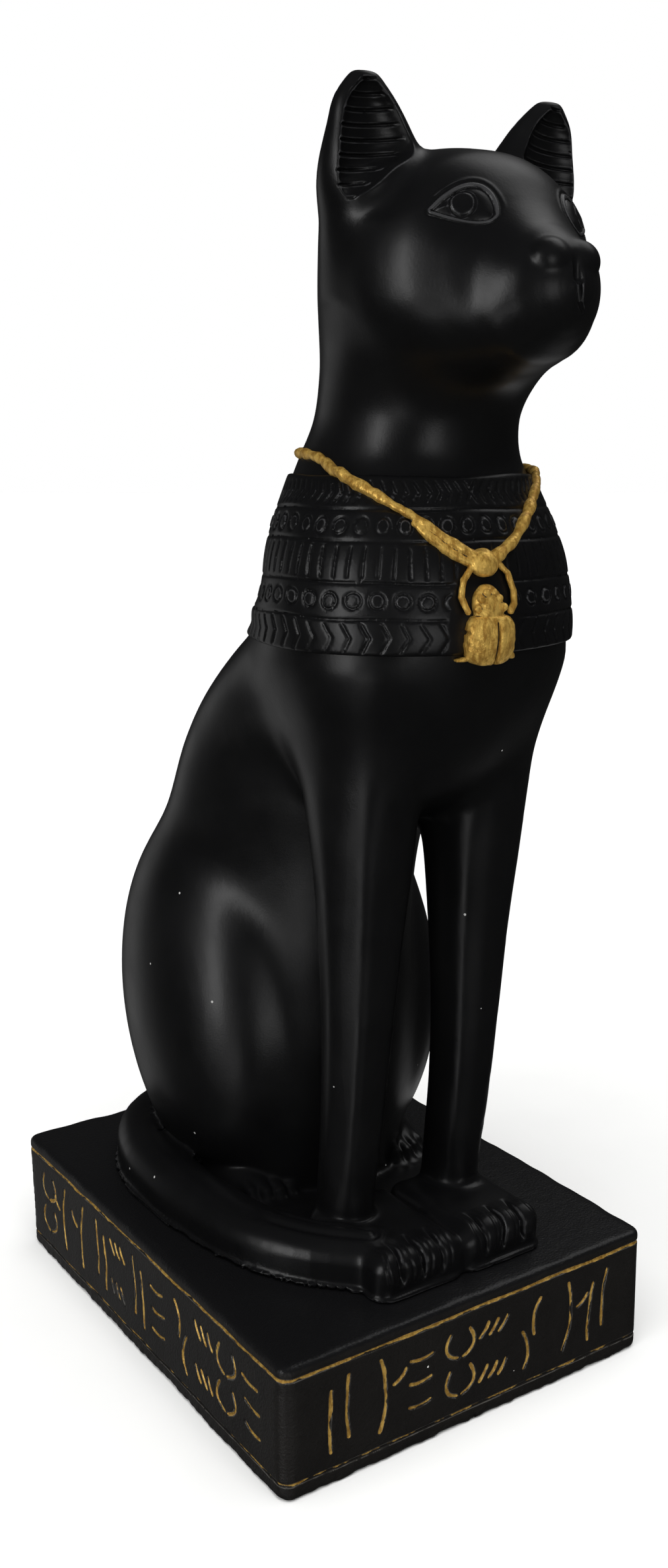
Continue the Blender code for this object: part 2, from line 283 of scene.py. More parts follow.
def split_long_edges(points, faces, wanted):
    """Halves each edge longer than wanted at its middle, and keeps the mesh closed."""
    sides = np.sort(np.concatenate([faces[:, [0, 1]], faces[:, [1, 2]], faces[:, [2, 0]]]), 1)
    edges, back_to = np.unique(sides, axis=0, return_inverse=True)
    back_to = back_to.reshape(3, -1).T
    middle = (points[edges[:, 0]] + points[edges[:, 1]]) / 2
    length = np.sqrt(((points[edges[:, 0]] - points[edges[:, 1]]) ** 2).sum(1))
    split = length > wanted(middle)
    new = np.full(len(edges), -1)
    new[split] = len(points) + np.arange(split.sum())
    cuts = new[back_to]
    how_many = (cuts >= 0).sum(1)
    made = [faces[how_many == 0]]
    for i in range(3):
        a, b, c = faces[:, i], faces[:, (i + 1) % 3], faces[:, (i + 2) % 3]
        ab, bc, ca = cuts[:, i], cuts[:, (i + 1) % 3], cuts[:, (i + 2) % 3]
        one = (how_many == 1) & (ab >= 0)
        made += [np.stack(t, 1)[one] for t in ((a, ab, c), (ab, b, c))]
        two = (how_many == 2) & (ca < 0)
        made += [np.stack(t, 1)[two] for t in ((ab, b, bc), (a, ab, bc), (a, bc, c))]
    a, b, c = faces.T
    ab, bc, ca = cuts.T
    three = how_many == 3
    made += [
        np.stack(t, 1)[three] for t in ((a, ab, ca), (ab, b, bc), (ca, bc, c), (ab, bc, ca))
    ]
    return np.concatenate([points, middle[split]]), np.concatenate(made), int(split.sum())


def skin_of(field, low, high, cell, wanted=None, rounds=4):
    """Closed triangle mesh of a distance, finer where wanted(points) asks for shorter edges."""
    count = np.ceil((np.asarray(high, float) - low) / cell).astype(int) + 1
    points, quads = lay_net(sample(field, low, cell, count), low, cell)
    points = settle(field, points)
    short = ((points[quads[:, 0]] - points[quads[:, 2]]) ** 2).sum(1) < (
        (points[quads[:, 1]] - points[quads[:, 3]]) ** 2
    ).sum(1)
    faces = np.concatenate(
        [
            np.where(short[:, None], quads[:, [0, 1, 2]], quads[:, [0, 1, 3]]),
            np.where(short[:, None], quads[:, [0, 2, 3]], quads[:, [1, 2, 3]]),
        ]
    )
    for _ in range(rounds if wanted else 0):
        old = len(points)
        points, faces, added = split_long_edges(points, faces, wanted)
        if not added:
            break
        points[old:] = settle(field, points[old:])
    return points, faces


def new_piece(name, points, faces, material, replaces):
    """Mesh object in metres that rides on the figure's one body."""
    mesh = bpy.data.meshes.new(name)
    mesh.from_pydata((points * MM).tolist(), [], faces.tolist())
    mesh.validate()
    mesh.shade_smooth()
    mesh.materials.append(material)
    piece = bpy.data.objects.new(name, mesh)
    bpy.context.scene.collection.objects.link(piece)
    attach(piece, "root")
    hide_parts(replaces)
    print(name, len(points), "points", len(faces), "faces")
    return piece

# %% [markdown]
# Three finishes cover the figure: satin black resin, the duller black of the plinth, and brushed gold
# paint. Each is a Principled shader. What they share, such as the fine grain, the specks of dust and the
# rubbed edges, is made once as a node group, and each material sets its own amounts.
# Texture coordinates are the object's own, in metres, so a noise scale of 1000 gives features
# about a millimetre wide.

# %% Small helpers for node trees
def put(tree, kind, inputs=(), **settings):
    """Adds a node, sets its properties, and links or sets its inputs."""
    node = tree.nodes.new(kind)
    for name, value in settings.items():
        setattr(node, name, value)
    for name, value in dict(inputs).items():
        if isinstance(value, bpy.types.NodeSocket):
            tree.links.new(value, node.inputs[name])
        else:
            node.inputs[name].default_value = value
    return node


def calculate(tree, operation, first, second=0.0, third=0.0, clamp=False):
    node = put(tree, "ShaderNodeMath", {0: first, 1: second, 2: third}, operation=operation)
    node.use_clamp = clamp
    return node.outputs[0]


def ramp(tree, value, low, high, start=0.0, end=1.0):
    """Smooth step from start to end while the value goes from low to high."""
    inputs = {"Value": value, "From Min": low, "From Max": high, "To Min": start, "To Max": end}
    node = put(tree, "ShaderNodeMapRange", inputs, interpolation_type="SMOOTHSTEP")
    return node.outputs["Result"]


def blend_colors(tree, share, first, second):
    node = put(tree, "ShaderNodeMix", data_type="RGBA")
    for socket, value in ((node.inputs[0], share), (node.inputs[6], first), (node.inputs[7], second)):
        if isinstance(value, bpy.types.NodeSocket):
            tree.links.new(value, socket)
        else:
            socket.default_value = value
    return node.outputs[2]


def noise(tree, place, scale, detail=3.0, roughness=0.5):
    inputs = {"Vector": place, "Scale": scale, "Detail": detail, "Roughness": roughness}
    return put(tree, "ShaderNodeTexNoise", inputs).outputs["Fac"]


def new_group(name, inputs, outputs):
    """Empty shader group with named number inputs, a Place vector, and number outputs."""
    group = bpy.data.node_groups.new(name, "ShaderNodeTree")
    group.interface.new_socket("Place", in_out="INPUT", socket_type="NodeSocketVector")
    for label, value in inputs.items():
        socket = group.interface.new_socket(label, in_out="INPUT", socket_type="NodeSocketFloat")
        socket.default_value = value
    for label in outputs:
        group.interface.new_socket(label, in_out="OUTPUT", socket_type="NodeSocketFloat")
    return group, group.nodes.new("NodeGroupInput").outputs, group.nodes.new("NodeGroupOutput").inputs


# %% [markdown]
# Cast resin copies its mould, with a skin like very fine orange peel, and someone has sanded it, so
# faint scratches run across the rounder places. The first group gives both as one height.

# %% Group: casting grain
grain, given, result = new_group("casting_grain", {"Peel": 1.0, "Scratches": 1.0}, ["Height", "Cloud"])
fine = noise(grain, given["Place"], 1500.0, 2.0)
broad = noise(grain, given["Place"], 260.0, 3.0)
across_strokes = {"Vector": given["Place"], "Rotation": (0.5, 0.3, 0.6), "Scale": (1.0, 7.0, 7.0)}
stretched = put(grain, "ShaderNodeMapping", across_strokes)
scratch = noise(grain, stretched.outputs[0], 620.0, 2.0)
where = ramp(grain, noise(grain, given["Place"], 45.0, 2.0), 0.46, 0.62)
height = calculate(grain, "MULTIPLY", calculate(grain, "ADD", fine, broad), given["Peel"])
scratched = calculate(grain, "MULTIPLY", calculate(grain, "MULTIPLY", scratch, where), given["Scratches"])
grain.links.new(calculate(grain, "ADD", height, scratched), result["Height"])
grain.links.new(noise(grain, given["Place"], 60.0, 4.0, 0.6), result["Cloud"])
print("groups", grain.name)

# %% [markdown]
# A shelf figure collects specks of lint. A Voronoi texture scatters cells, and only the rare cell whose
# random value is very high keeps a speck at its middle.

# %% Group: dust specks
dust, given, result = new_group("dust_specks", {"Rarity": 0.985, "Size": 0.12}, ["Speck"])
cells = put(dust, "ShaderNodeTexVoronoi", {"Vector": given["Place"], "Scale": 330.0})
pick = put(dust, "ShaderNodeSeparateColor", {"Color": cells.outputs["Color"]}).outputs[0]
chosen = calculate(dust, "GREATER_THAN", pick, given["Rarity"])
near = calculate(dust, "LESS_THAN", cells.outputs["Distance"], given["Size"])
dust.links.new(calculate(dust, "MULTIPLY", chosen, near), result["Speck"])
print("groups", dust.name)

# %% [markdown]
# Handling polishes and pales whatever stands proud. Each mesh carries a number called ridge, which
# is worked out from how sharply its skin bends outward, and this group breaks it up with noise.

# %% Group: rubbed edges
rubbed, given, result = new_group("rubbed_edges", {"Ridge": 0.0, "Reach": 0.5}, ["Worn"])
patchy = noise(rubbed, given["Place"], 420.0, 4.0, 0.65)
low = calculate(rubbed, "SUBTRACT", 1.15, given["Reach"])
worn = calculate(rubbed, "ADD", given["Ridge"], calculate(rubbed, "MULTIPLY", patchy, 0.6))
rubbed.links.new(ramp(rubbed, worn, low, calculate(rubbed, "ADD", low, 0.45)), result["Worn"])
print("groups", rubbed.name)


# %% [markdown]
# These helpers put a group or a mesh number into a material, and start a material from the object's
# own coordinates. They could be written out in each material, which would hide what differs there.

# %% Group users
def place_group(tree, group, **inputs):
    node = tree.nodes.new("ShaderNodeGroup")
    node.node_tree = group
    for name, value in inputs.items():
        if isinstance(value, bpy.types.NodeSocket):
            tree.links.new(value, node.inputs[name])
        else:
            node.inputs[name].default_value = value
    return node.outputs


def new_material(name):
    material = bpy.data.materials.new(name)
    material.use_nodes = True
    tree = material.node_tree
    shader = tree.nodes["Principled BSDF"]
    place = put(tree, "ShaderNodeTexCoord").outputs["Object"]
    return material, tree, shader, place


def mesh_number(tree, name):
    return put(tree, "ShaderNodeAttribute", attribute_name=name).outputs["Fac"]


def bump(tree, shader, height, strength, reach):
    node = put(tree, "ShaderNodeBump", {"Height": height, "Strength": strength, "Distance": reach})
    tree.links.new(node.outputs["Normal"], shader.inputs["Normal"])


# %% [markdown]
# The cat's resin is nearly black, with a satin gloss that varies a little from place to place. Rubbed
# edges are slightly smoother and greyer, and the specks of dust are pale and matt.

# %% Material: black resin
def black_resin(name, dark, light, gloss, matt, peel, scratches, rarity):
    material, tree, shader, place = new_material(name)
    skin = place_group(tree, grain, Place=place, Peel=peel, Scratches=scratches)
    speck = place_group(tree, dust, Place=place, Rarity=rarity, Size=0.11)["Speck"]
    worn = place_group(tree, rubbed, Place=place, Ridge=mesh_number(tree, "ridge"), Reach=0.42)["Worn"]
    color = blend_colors(tree, skin["Cloud"], dark, light)
    color = blend_colors(tree, calculate(tree, "MULTIPLY", worn, 0.5), color, (0.05, 0.05, 0.052, 1))
    color = blend_colors(tree, speck, color, (0.35, 0.35, 0.34, 1))
    tree.links.new(color, shader.inputs["Base Color"])
    rough = ramp(tree, skin["Cloud"], 0.3, 0.7, gloss, matt)
    rough = calculate(tree, "SUBTRACT", rough, calculate(tree, "MULTIPLY", worn, 0.06))
    rough = calculate(tree, "ADD", rough, calculate(tree, "MULTIPLY", speck, 0.4), clamp=True)
    tree.links.new(rough, shader.inputs["Roughness"])
    shader.inputs["IOR"].default_value = 1.5
    bump(tree, shader, skin["Height"], 0.25, 0.00012)
    return material


resin = black_resin(
    "satin_black_resin",
    dark=(0.0018, 0.0018, 0.002, 1),
    light=(0.0042, 0.0042, 0.0045, 1),
    gloss=0.3,
    matt=0.38,
    peel=0.6,
    scratches=0.5,
    rarity=0.988,
)
print("made", resin.name)

# %% [markdown]
# Gold paint is metal powder in varnish. A brush leaves streaks in it. In the hollows its colour is
# darkened towards black and made less metallic, as painted shade that noise breaks up.

# %% Material: gold paint
GOLD_LIGHT = (0.90, 0.58, 0.14, 1)
GOLD_DEEP = (0.40, 0.21, 0.035, 1)


def gold_color(tree, place):
    streak = put(tree, "ShaderNodeMapping", {"Vector": place, "Scale": (1.0, 1.0, 0.35)}).outputs[0]
    patches = ramp(tree, noise(tree, streak, 900.0, 5.0, 0.65), 0.34, 0.66)
    return blend_colors(tree, patches, GOLD_DEEP, GOLD_LIGHT), patches


gold, tree, shader, place = new_material("gold_paint")
color, patches = gold_color(tree, place)
hollow = mesh_number(tree, "hollow")
uneven = calculate(tree, "MULTIPLY", noise(tree, place, 700.0, 4.0, 0.7), 0.9)
# Painted shade: the gold is darkened towards black where the skin is hollow, broken up by noise.
painted_hollow_shade = ramp(tree, calculate(tree, "ADD", hollow, uneven), 1.0, 1.25)
tree.links.new(blend_colors(tree, painted_hollow_shade, color, (0.03, 0.018, 0.006, 1)), shader.inputs["Base Color"])
tree.links.new(ramp(tree, painted_hollow_shade, 0.0, 1.0, 0.66, 0.1), shader.inputs["Metallic"])
tree.links.new(ramp(tree, patches, 0.0, 1.0, 0.42, 0.3), shader.inputs["Roughness"])
skin = place_group(tree, grain, Place=place, Peel=1.3, Scratches=1.0)
bump(tree, shader, skin["Height"], 0.45, 0.00025)
print("made", gold.name)


# %% [markdown]
# The distances also say where a skin bends. Points a little way out from a ridge are further from it
# than from a flat, so the sum of six neighbours shows ridges above zero and grooves below.

# %% Ridge and hollow numbers on a mesh
def bend_numbers(field, points, reach=0.35):
    total = -6 * field(points)
    for step in reach * np.eye(3):
        total += field(points + step) + field(points - step)
    return total / reach


def store_number(piece, name, values):
    attribute = piece.data.attributes.new(name, "FLOAT", "POINT")
    attribute.data.foreach_set("value", np.clip(values, 0, 1).astype(np.float32))


def store_wear_and_painted_light_masks(piece, field, points):
    bend = bend_numbers(field, points)
    store_number(piece, "ridge", bend * 0.8)
    store_number(piece, "hollow", -bend * 0.8)


# %% [markdown]
# The head is one lying loft from the back of the skull to the muzzle, on a standing loft for the neck,
# with two ears. The round muzzle tip, the bridge and the two lobes of the nose are joined to it, and
# the eye sockets, the groove of the nose and the mouth are cut from it, all with small fillets.

# %% Tables of the cat's main masses, in millimetres
# height, centre y, half width, half depth, squareness, centre x, how much wider the back is
TRUNK = [
    (29, 21, 28.5, 34.5, 2.5, 0, 0.10),
    (45, 21.3, 30.5, 36.5, 2.5, 0, 0.10),
    (60, 20.3, 31.5, 38.8, 2.4, 0, 0.10),
    (90, 18, 31, 41, 2.4, 0, 0.15),
    (110, 16.5, 31.4, 40.5, 2.3, 0, 0.23),
    (130, 12, 32.2, 38.5, 2.2, 0, 0.25),
    (145, 6, 32.6, 35.8, 2.2, 0, 0.22),
    (160, -0.5, 32.6, 34.4, 2.2, 0, 0.18),
    (175, -12, 33.8, 34.4, 2.2, 0, 0.05),
    (185, -21, 32.6, 33, 2.2, 0, 0),
    (194, -30, 30.2, 29.8, 2.2, 0, 0),
]
CHEST = [
    (147, -34, 12, 9.5, 2.2, 0, 0),
    (153, -35.5, 20, 16.5, 2.2, 0, 0),
    (161, -37, 26.3, 22, 2.2, 0, 0),
    (172, -38.5, 31.5, 27, 2.2, 0, 0),
    (187, -39, 35.7, 31.5, 2.2, 0, -0.03),
    (195, -39, 36.4, 32.7, 2.1, 0, -0.03),
    (205, -38, 35.5, 32.3, 2.1, 0, -0.05),
    (215, -37, 33.2, 30.7, 2.1, 0, -0.05),
    (225, -36, 29.0, 27.7, 2.1, 0, -0.05),
    (232, -35.5, 25.3, 26.0, 2.1, 0, -0.04),
    (240, -38, 23.1, 24.1, 2.1, 0, -0.02),
    (250, -41.5, 23.8, 23.9, 2.1, 0, -0.03),
    (262, -43, 24.4, 24.2, 2.1, 0, -0.08),
    (275, -43.5, 24.4, 24.2, 2.1, 0, -0.12),
]
FORELEG = [
    (33, -34, 6.8, 8.6, 2.2, 17.0, 0),
    (55, -35.5, 6.5, 8.1, 2.2, 16.9, 0),
    (71, -37.5, 6.9, 8.3, 2.2, 17.0, 0),
    (95, -39.5, 7.9, 9.0, 2.2, 17.0, 0),
    (120, -40.5, 9.5, 10.6, 2.2, 16.8, 0),
    (140, -41, 11.1, 12.9, 2.2, 16.7, 0),
    (155, -40.5, 12.2, 16, 2.2, 16.6, 0),
    (170, -39.5, 13.7, 19.4, 2.2, 16.8, 0),
    (185, -38.5, 16, 23, 2.2, 18.0, 0),
]
EAR = [
    (266, -45, 11.3, 12, 2.0, 16.4, 0),
    (280, -48, 13.1, 12, 2.0, 17.6, 0),
    (289, -50, 13.3, 9.5, 2.0, 20.3, 0),
    (299, -51.5, 10.1, 5.8, 2.0, 22.7, 0),
    (305, -52.3, 7.0, 3.8, 2.0, 24.4, 0),
    (309.4, -53, 3.0, 2.0, 2.0, 25.2, 0),
]
# y, centre height, half width, half height, squareness, centre x, how much wider the top is
HEAD = [
    (-91.5, 265.8, 1.0, 1.0, 2.0, 0, 0),
    (-91.2, 265.8, 3.0, 2.8, 2.0, 0, 0),
    (-90.4, 265.8, 5.3, 4.9, 2.0, 0, 0),
    (-88.9, 265.8, 8.1, 7.5, 2.0, 0, 0),
    (-86.9, 265.8, 10.6, 9.8, 2.1, 0, -0.01),
    (-84.5, 265.7, 12.5, 11.9, 2.1, 0, -0.02),
    (-82, 265.6, 14.0, 13.7, 2.2, 0, -0.05),
    (-78, 267.0, 16.3, 16.4, 2.2, 0, -0.08),
    (-74, 269.3, 19.8, 19.7, 2.2, 0, -0.03),
    (-68, 271.4, 24.4, 22.2, 2.2, 0, -0.06),
    (-60, 272.7, 27.6, 23.3, 2.2, 0, -0.10),
    (-50, 273.5, 27.8, 23.5, 2.2, 0, -0.05),
    (-40, 273, 24.6, 23, 2.2, 0, 0),
    (-31, 272, 18.8, 21, 2.2, 0, 0),
    (-25, 271, 13.5, 17.5, 2.2, 0, 0),
    (-21, 270, 8.2, 12, 2.2, 0, 0),
]
COLLAR_BOTTOM = 190.4
COLLAR_TOP = 228.5
COLLAR_PROUD = 1.2


def core(points):
    """Trunk, chest, neck and the upper forelegs, without the details."""
    own, side = cat_frame(points)
    mass = join(loft(own, CHEST), loft(own, TRUNK), 14)
    return join(mass, loft(side, FORELEG), 8)


# %% [markdown]
# Each eye is drawn in its own flat frame: u runs from the outer corner to the inner one, v runs up,
# and both lie on the slope of the face. The lids are the space between an inner and an outer outline.

# %% Eyes
EYE_CENTRE = np.array([14.5, -72.9, 279.6])
EYE_LEAN = math.radians(28)
EYE_OUT = np.array([0.676, -0.732, 0.0])
EYE_U = np.array([-0.7365, -0.6765, 0.0])
EYE_V = np.array([0, 0, math.cos(EYE_LEAN)]) - math.sin(EYE_LEAN) * EYE_OUT
EYE_HALF = 6.3
LID = 1.0


def eye_outline(half, up, down, count=28):
    """Closed outline of an eye: a drop, pointed at the outer corner and round at the inner one."""
    s = -np.cos(np.linspace(0, math.pi, count))
    arch = (1 + s) ** 1.1 * (1 - s) ** 0.55
    arch = arch / arch.max()
    top = np.stack([half * s, up * arch], 1)
    bottom = np.stack([half * s, -down * arch], 1)
    return np.concatenate([top, bottom[-2:0:-1]])


def from_outline(u, v, outline):
    """Distance, below zero inside, to a closed outline."""
    best = np.full(len(u), 1e9)
    inside = np.zeros(len(u), bool)
    for a, b in zip(outline, np.roll(outline, -1, axis=0)):
        run = b - a
        t = np.clip(((u - a[0]) * run[0] + (v - a[1]) * run[1]) / (run @ run), 0, 1)
        best = np.minimum(best, np.hypot(u - a[0] - t * run[0], v - a[1] - t * run[1]))
        crossing = (a[1] > v) != (b[1] > v)
        level = run[1] if run[1] else 1.0
        inside ^= crossing & (u < a[0] + (v - a[1]) / level * run[0])
    return np.where(inside, -best, best)


EYE_OUTLINE = eye_outline(EYE_HALF, 5.6, 1.9)


def eye_relief(side):
    """How far the face stands proud of the plain head round an eye."""
    relief = np.zeros(len(side))
    p = side - EYE_CENTRE
    u, v = p @ EYE_U, p @ EYE_V
    near = (np.abs(u) < 9.5) & (np.abs(v - 2) < 7.5) & (side[:, 1] < -55)
    if not near.any():
        return relief
    u, v = u[near], v[near]
    edge = from_outline(u, v, EYE_OUTLINE)
    width = LID + 0.25 * np.clip(v / 3, -1, 1)
    across = np.clip(edge / width, 0, 1)
    lid = 0.42 * np.sqrt(np.clip(np.sin(np.pi * across), 0, 1)) * (edge > 0)
    depth = np.clip(-edge / 2.4, 0, 1)
    globe = (-0.35 + 0.95 * np.sin(depth * np.pi / 2)) * (edge < 0)
    iris = np.hypot(u + 0.2, v - 1.5)
    globe = globe + (edge < -0.3) * (0.15 * (iris < 2.5) - 0.25 * np.exp(-(((iris - 2.55) / 0.3) ** 2)))
    fold = 0.2 * np.exp(-(((edge - width - 0.9) / 0.4) ** 2)) * np.clip((v - 1.5) / 2, 0, 1)
    crease = fold - 0.25 * np.exp(-(((edge - width) / 0.35) ** 2))
    corner = -0.22 * np.exp(-((edge / 0.26) ** 2))
    relief[near] = lid + globe + crease + corner
    return relief


def eye_zone(side):
    """Distance to the part of the face that holds an eye."""
    p = side - EYE_CENTRE
    u, v = p @ EYE_U, p @ EYE_V
    in_front = side[:, 1] < -55
    return np.maximum(np.abs(u - 0.5) - 9.5, np.abs(v - 2.7) - 6.5) * in_front + 50 * ~in_front


# %% [markdown]
# The ears are hollow in front, and the hollow's floor is carved with slats, like the pleats of a cat's
# ear simplified by a carver. A narrow double rim runs up the outer edge.

# %% Ears
# height, centre y, half width, half depth, squareness, centre x, swell
EAR_HOLLOW = [
    (280.5, -60, 0.8, 2.5, 2.0, 32.2, 0),
    (284, -60, 2.6, 5.0, 2.0, 31.4, 0),
    (287, -60, 4.4, 6.5, 2.0, 30.0, 0),
    (290.5, -60, 6.6, 7.4, 2.0, 28.0, 0),
    (293, -60, 8.8, 7.8, 2.0, 25.8, 0),
    (296, -60, 10.2, 7.8, 2.0, 24.6, 0),
    (300, -59.2, 8.9, 6.8, 2.0, 24.8, 0),
    (304.5, -58, 5.8, 5.0, 2.0, 25.1, 0),
    (307.6, -57, 2.2, 2.6, 2.0, 25.3, 0),
]
SLAT_PITCH = 2.9


def ear_hollow(side):
    """Distance to the hollow, with its slats and the line along its outer rim."""
    hollow = loft(side, EAR_HOLLOW)
    _, half_width, _, _, middle, _ = along(side[:, 2], EAR_HOLLOW)
    across = (side[:, 0] - middle) / half_width
    phase = (side[:, 2] + 0.10 * (side[:, 0] - 24) - 279) / SLAT_PITCH
    groove = np.exp(-(((phase - np.round(phase)) * SLAT_PITCH / 0.35) ** 2))
    slat = 0.35 * np.cos(2 * np.pi * phase)
    inner = np.clip((0.80 - np.abs(across + 0.02)) / 0.12, 0, 1)
    rim = np.exp(-(((across - 0.86) * half_width / 0.35) ** 2))
    return hollow - inner * (0.55 * groove - 0.3 * slat * 0.5) - 0.4 * rim


NECK_BOTTOM = 212.0
EYE_SOCKET = ((23.5, -83.5, 283.5), (10.5, 10.0, 8.5))
MUZZLE_TIP = ((0, -84.5, 265.8), (9.4, 7.5, 8.6))
NOSE_BRIDGE = ((0, -83.6, 272.2), (6.6, 6.0, 3.9))
NOSE_LOBE = ((3.8, -86.6, 270.8), (5.1, 4.6, 4.5))
NOSE_GROOVE = [(0, -91.2, 274.2), (0, -91.8, 267.4)]
MOUTH = [(0, -91.6, 267.4), (0.3, -91.6, 264.5), (0.8, -91.4, 262.6), (2.6, -90.7, 260.8)]


def head_field(points):
    own, side = cat_frame(points)
    neck = cut(loft(own, CHEST), own[:, 2] - NECK_BOTTOM, 1.0)
    mass = join(neck, loft(own, HEAD, lying=True), 15)
    mass = cut(mass, ball(side, *EYE_SOCKET), 7)
    mass = join(mass, loft(side, EAR), 5)
    mass = join(mass, ball(own, *MUZZLE_TIP), 2)
    mass = join(mass, ball(own, *NOSE_BRIDGE), 3)
    mass = join(mass, ball(side, *NOSE_LOBE), 1.2)
    mass = cut(mass, tube(own, NOSE_GROOVE, [0.9, 1.3]), 1.0)
    mass = cut(mass, tube(own, MOUTH, [0.6, 0.75, 0.6, 0.4]), 0.6)
    mass = cut(mass, ear_hollow(side), 0.7)
    return mass - eye_relief(side)


def head_face_size(points):
    own, side = cat_frame(points)
    eye = eye_zone(side)
    nose = np.sqrt(((own - np.array([0, -90, 267])) ** 2).sum(1)) - 9
    ear = ear_hollow(side) - 0.8
    near = np.minimum(np.minimum(eye, nose * 0.7), ear)
    return np.interp(near, [0, 5], [0.34, 1.9])


points, faces = skin_of(head_field, (-34, -98, 205), (42, -12, 313), 1.3, head_face_size, 6)
head = new_piece("cat_head", points, faces, resin, "cat")
store_wear_and_painted_light_masks(head, head_field, points)

# %% [markdown]
# The body holds the trunk, the haunches, the legs and the tail. The legs are not round: the carver left
# soft ridges down them, where the tendons run. The front paws are blocks with folded toes, the hind
# toes slope out from under the haunches, and the tail ends in a ball behind a groove.

# %% Legs and paws
THIGH = ((23.5, 23.5, 86), (19.5, 35, 49), -8)
LEG_RIDGES = ((28, 13, 0.55), (-44, 13, 0.5), (84, 16, 0.4))
PAW_CENTRE = (12.9, -45.5, 37.5)
PAW_SIZE = (25.4, 34.0, 15.0)
TOE_PITCH = 6.1
PAW_BRIDGE = ((0, -53.2, 36.4), (20, 18.0, 14.0), 3.0)
HIND_FOOT = ((24, 8, 35), (9.5, 19, 11.5))
HIND_TOES = ((17.6, -12.5), (21.0, -12.8), (24.4, -11.4), (27.6, -9.0))


def leg_relief(own, side):
    """Soft ridges down the forelegs, by the angle round each leg's middle line."""
    centre_y, half_width, _, _, middle, _ = along(side[:, 2], FORELEG)
    angle = np.degrees(np.arctan2(side[:, 0] - middle, -(side[:, 1] - centre_y)))
    drift = 6 * wobble(own * [0.01, 0.01, 1], 70, 3)
    total = np.zeros(len(side))
    for place, width, proud in LEG_RIDGES:
        total += proud * np.exp(-(((angle - place - drift) / width) ** 2))
    reach = np.hypot(side[:, 0] - middle, side[:, 1] - centre_y)
    there = np.clip((half_width * 1.9 - reach) / 4, 0, 1)
    return total * there * np.interp(side[:, 2], [46, 60, 135, 165], [0, 1, 1, 0])


def front_paw(own, side):
    paw = block(side, PAW_CENTRE, PAW_SIZE, 3.8)
    across = side[:, 0] - PAW_CENTRE[0] + 0.5 * wobble(own, 9, 5)
    folds = np.zeros(len(side))
    for i in range(-1, 2):
        folds += 1.25 * np.exp(-(((across - i * TOE_PITCH) / 0.6) ** 2))
    for i in range(-2, 2):
        folds += 0.3 * np.exp(-(((across - (i + 0.5) * TOE_PITCH - 0.6) / 0.4) ** 2))
        folds -= 0.5 * np.exp(-(((across - (i + 0.5) * TOE_PITCH) / 1.9) ** 2))
    front = np.clip((-53.5 - side[:, 1]) / 4, 0, 1) * np.clip((side[:, 2] - 37.0) / 2.2, 0, 1)
    return paw + folds * front


def hind_foot(side):
    foot = ball(side, *HIND_FOOT)
    for x, y in HIND_TOES:
        toe = tube(side, [(x * 0.9 + 2, y + 13, 42.5), (x, y + 3, 40), (x, y, 35.5)], [2.1, 1.95, 1.8])
        foot = join(foot, toe, 0.9)
    return foot


# %% [markdown]
# The tail follows one flat curve round the right side. Below its middle it drops straight down to the
# plinth, as a mould needs, and a thin footing sticks out round the tail and the paws.

# %% Tail and footing
TAIL_ROUTE = [
    (6, 56, 8.6),
    (-14, 56, 8.5),
    (-30, 47.5, 8.3),
    (-38.5, 33, 8.1),
    (-41.3, 12, 7.9),
    (-40.4, -8, 7.7),
    (-37, -26, 7.5),
    (-30, -39.5, 7.3),
    (-20.5, -50, 7.2),
]
TAIL_STEPS = 36
TAIL_MIDDLE = 40.5
TAIL_TIP = (-17.5, -53.5, 5.8)
FOOTING_HIGH = 0.9
FOOTING_OUT = 1.1
INFILL_TOP = 38.5
BODY_TOP = 205.0
rows = np.array(TAIL_ROUTE, float)
lengths = np.concatenate([[0], np.cumsum(np.hypot(*np.diff(rows[:, :2], axis=0).T))])
tail_line = along(np.linspace(0, lengths[-1], TAIL_STEPS), np.column_stack([lengths, rows])).T


def tail_distances(own):
    """Distance from the tail's line seen from above, how far along it is, and its half width there."""
    best = np.full(len(own), 1e9)
    where = np.zeros(len(own))
    width = np.zeros(len(own))
    for i, (a, b) in enumerate(zip(tail_line, tail_line[1:])):
        run = b[:2] - a[:2]
        t = np.clip((own[:, :2] - a[:2]) @ run / (run @ run), 0, 1)
        gap = np.hypot(*(own[:, :2] - a[:2] - t[:, None] * run).T)
        radius = a[2] + t * (b[2] - a[2])
        closer = gap - radius < best - width
        best = np.where(closer, gap, best)
        width = np.where(closer, radius, width)
        where = np.where(closer, (i + t) / (TAIL_STEPS - 1), where)
    return best, where, width


def tail_field(own):
    gap, where, width = tail_distances(own)
    rise = np.maximum(own[:, 2] - TAIL_MIDDLE, 0) / 0.84
    bar = np.hypot(gap, rise) - width
    groove = np.exp(-(((gap / width - 0.30) / 0.12) ** 2)) * np.interp(where, [0.72, 0.84], [0, 0.9])
    bar = bar + groove * (rise > 0)
    tip = np.hypot(own[:, 0] - TAIL_TIP[0], own[:, 1] - TAIL_TIP[1])
    tip = np.hypot(tip, rise) - TAIL_TIP[2]
    return np.minimum(bar, tip), gap - width


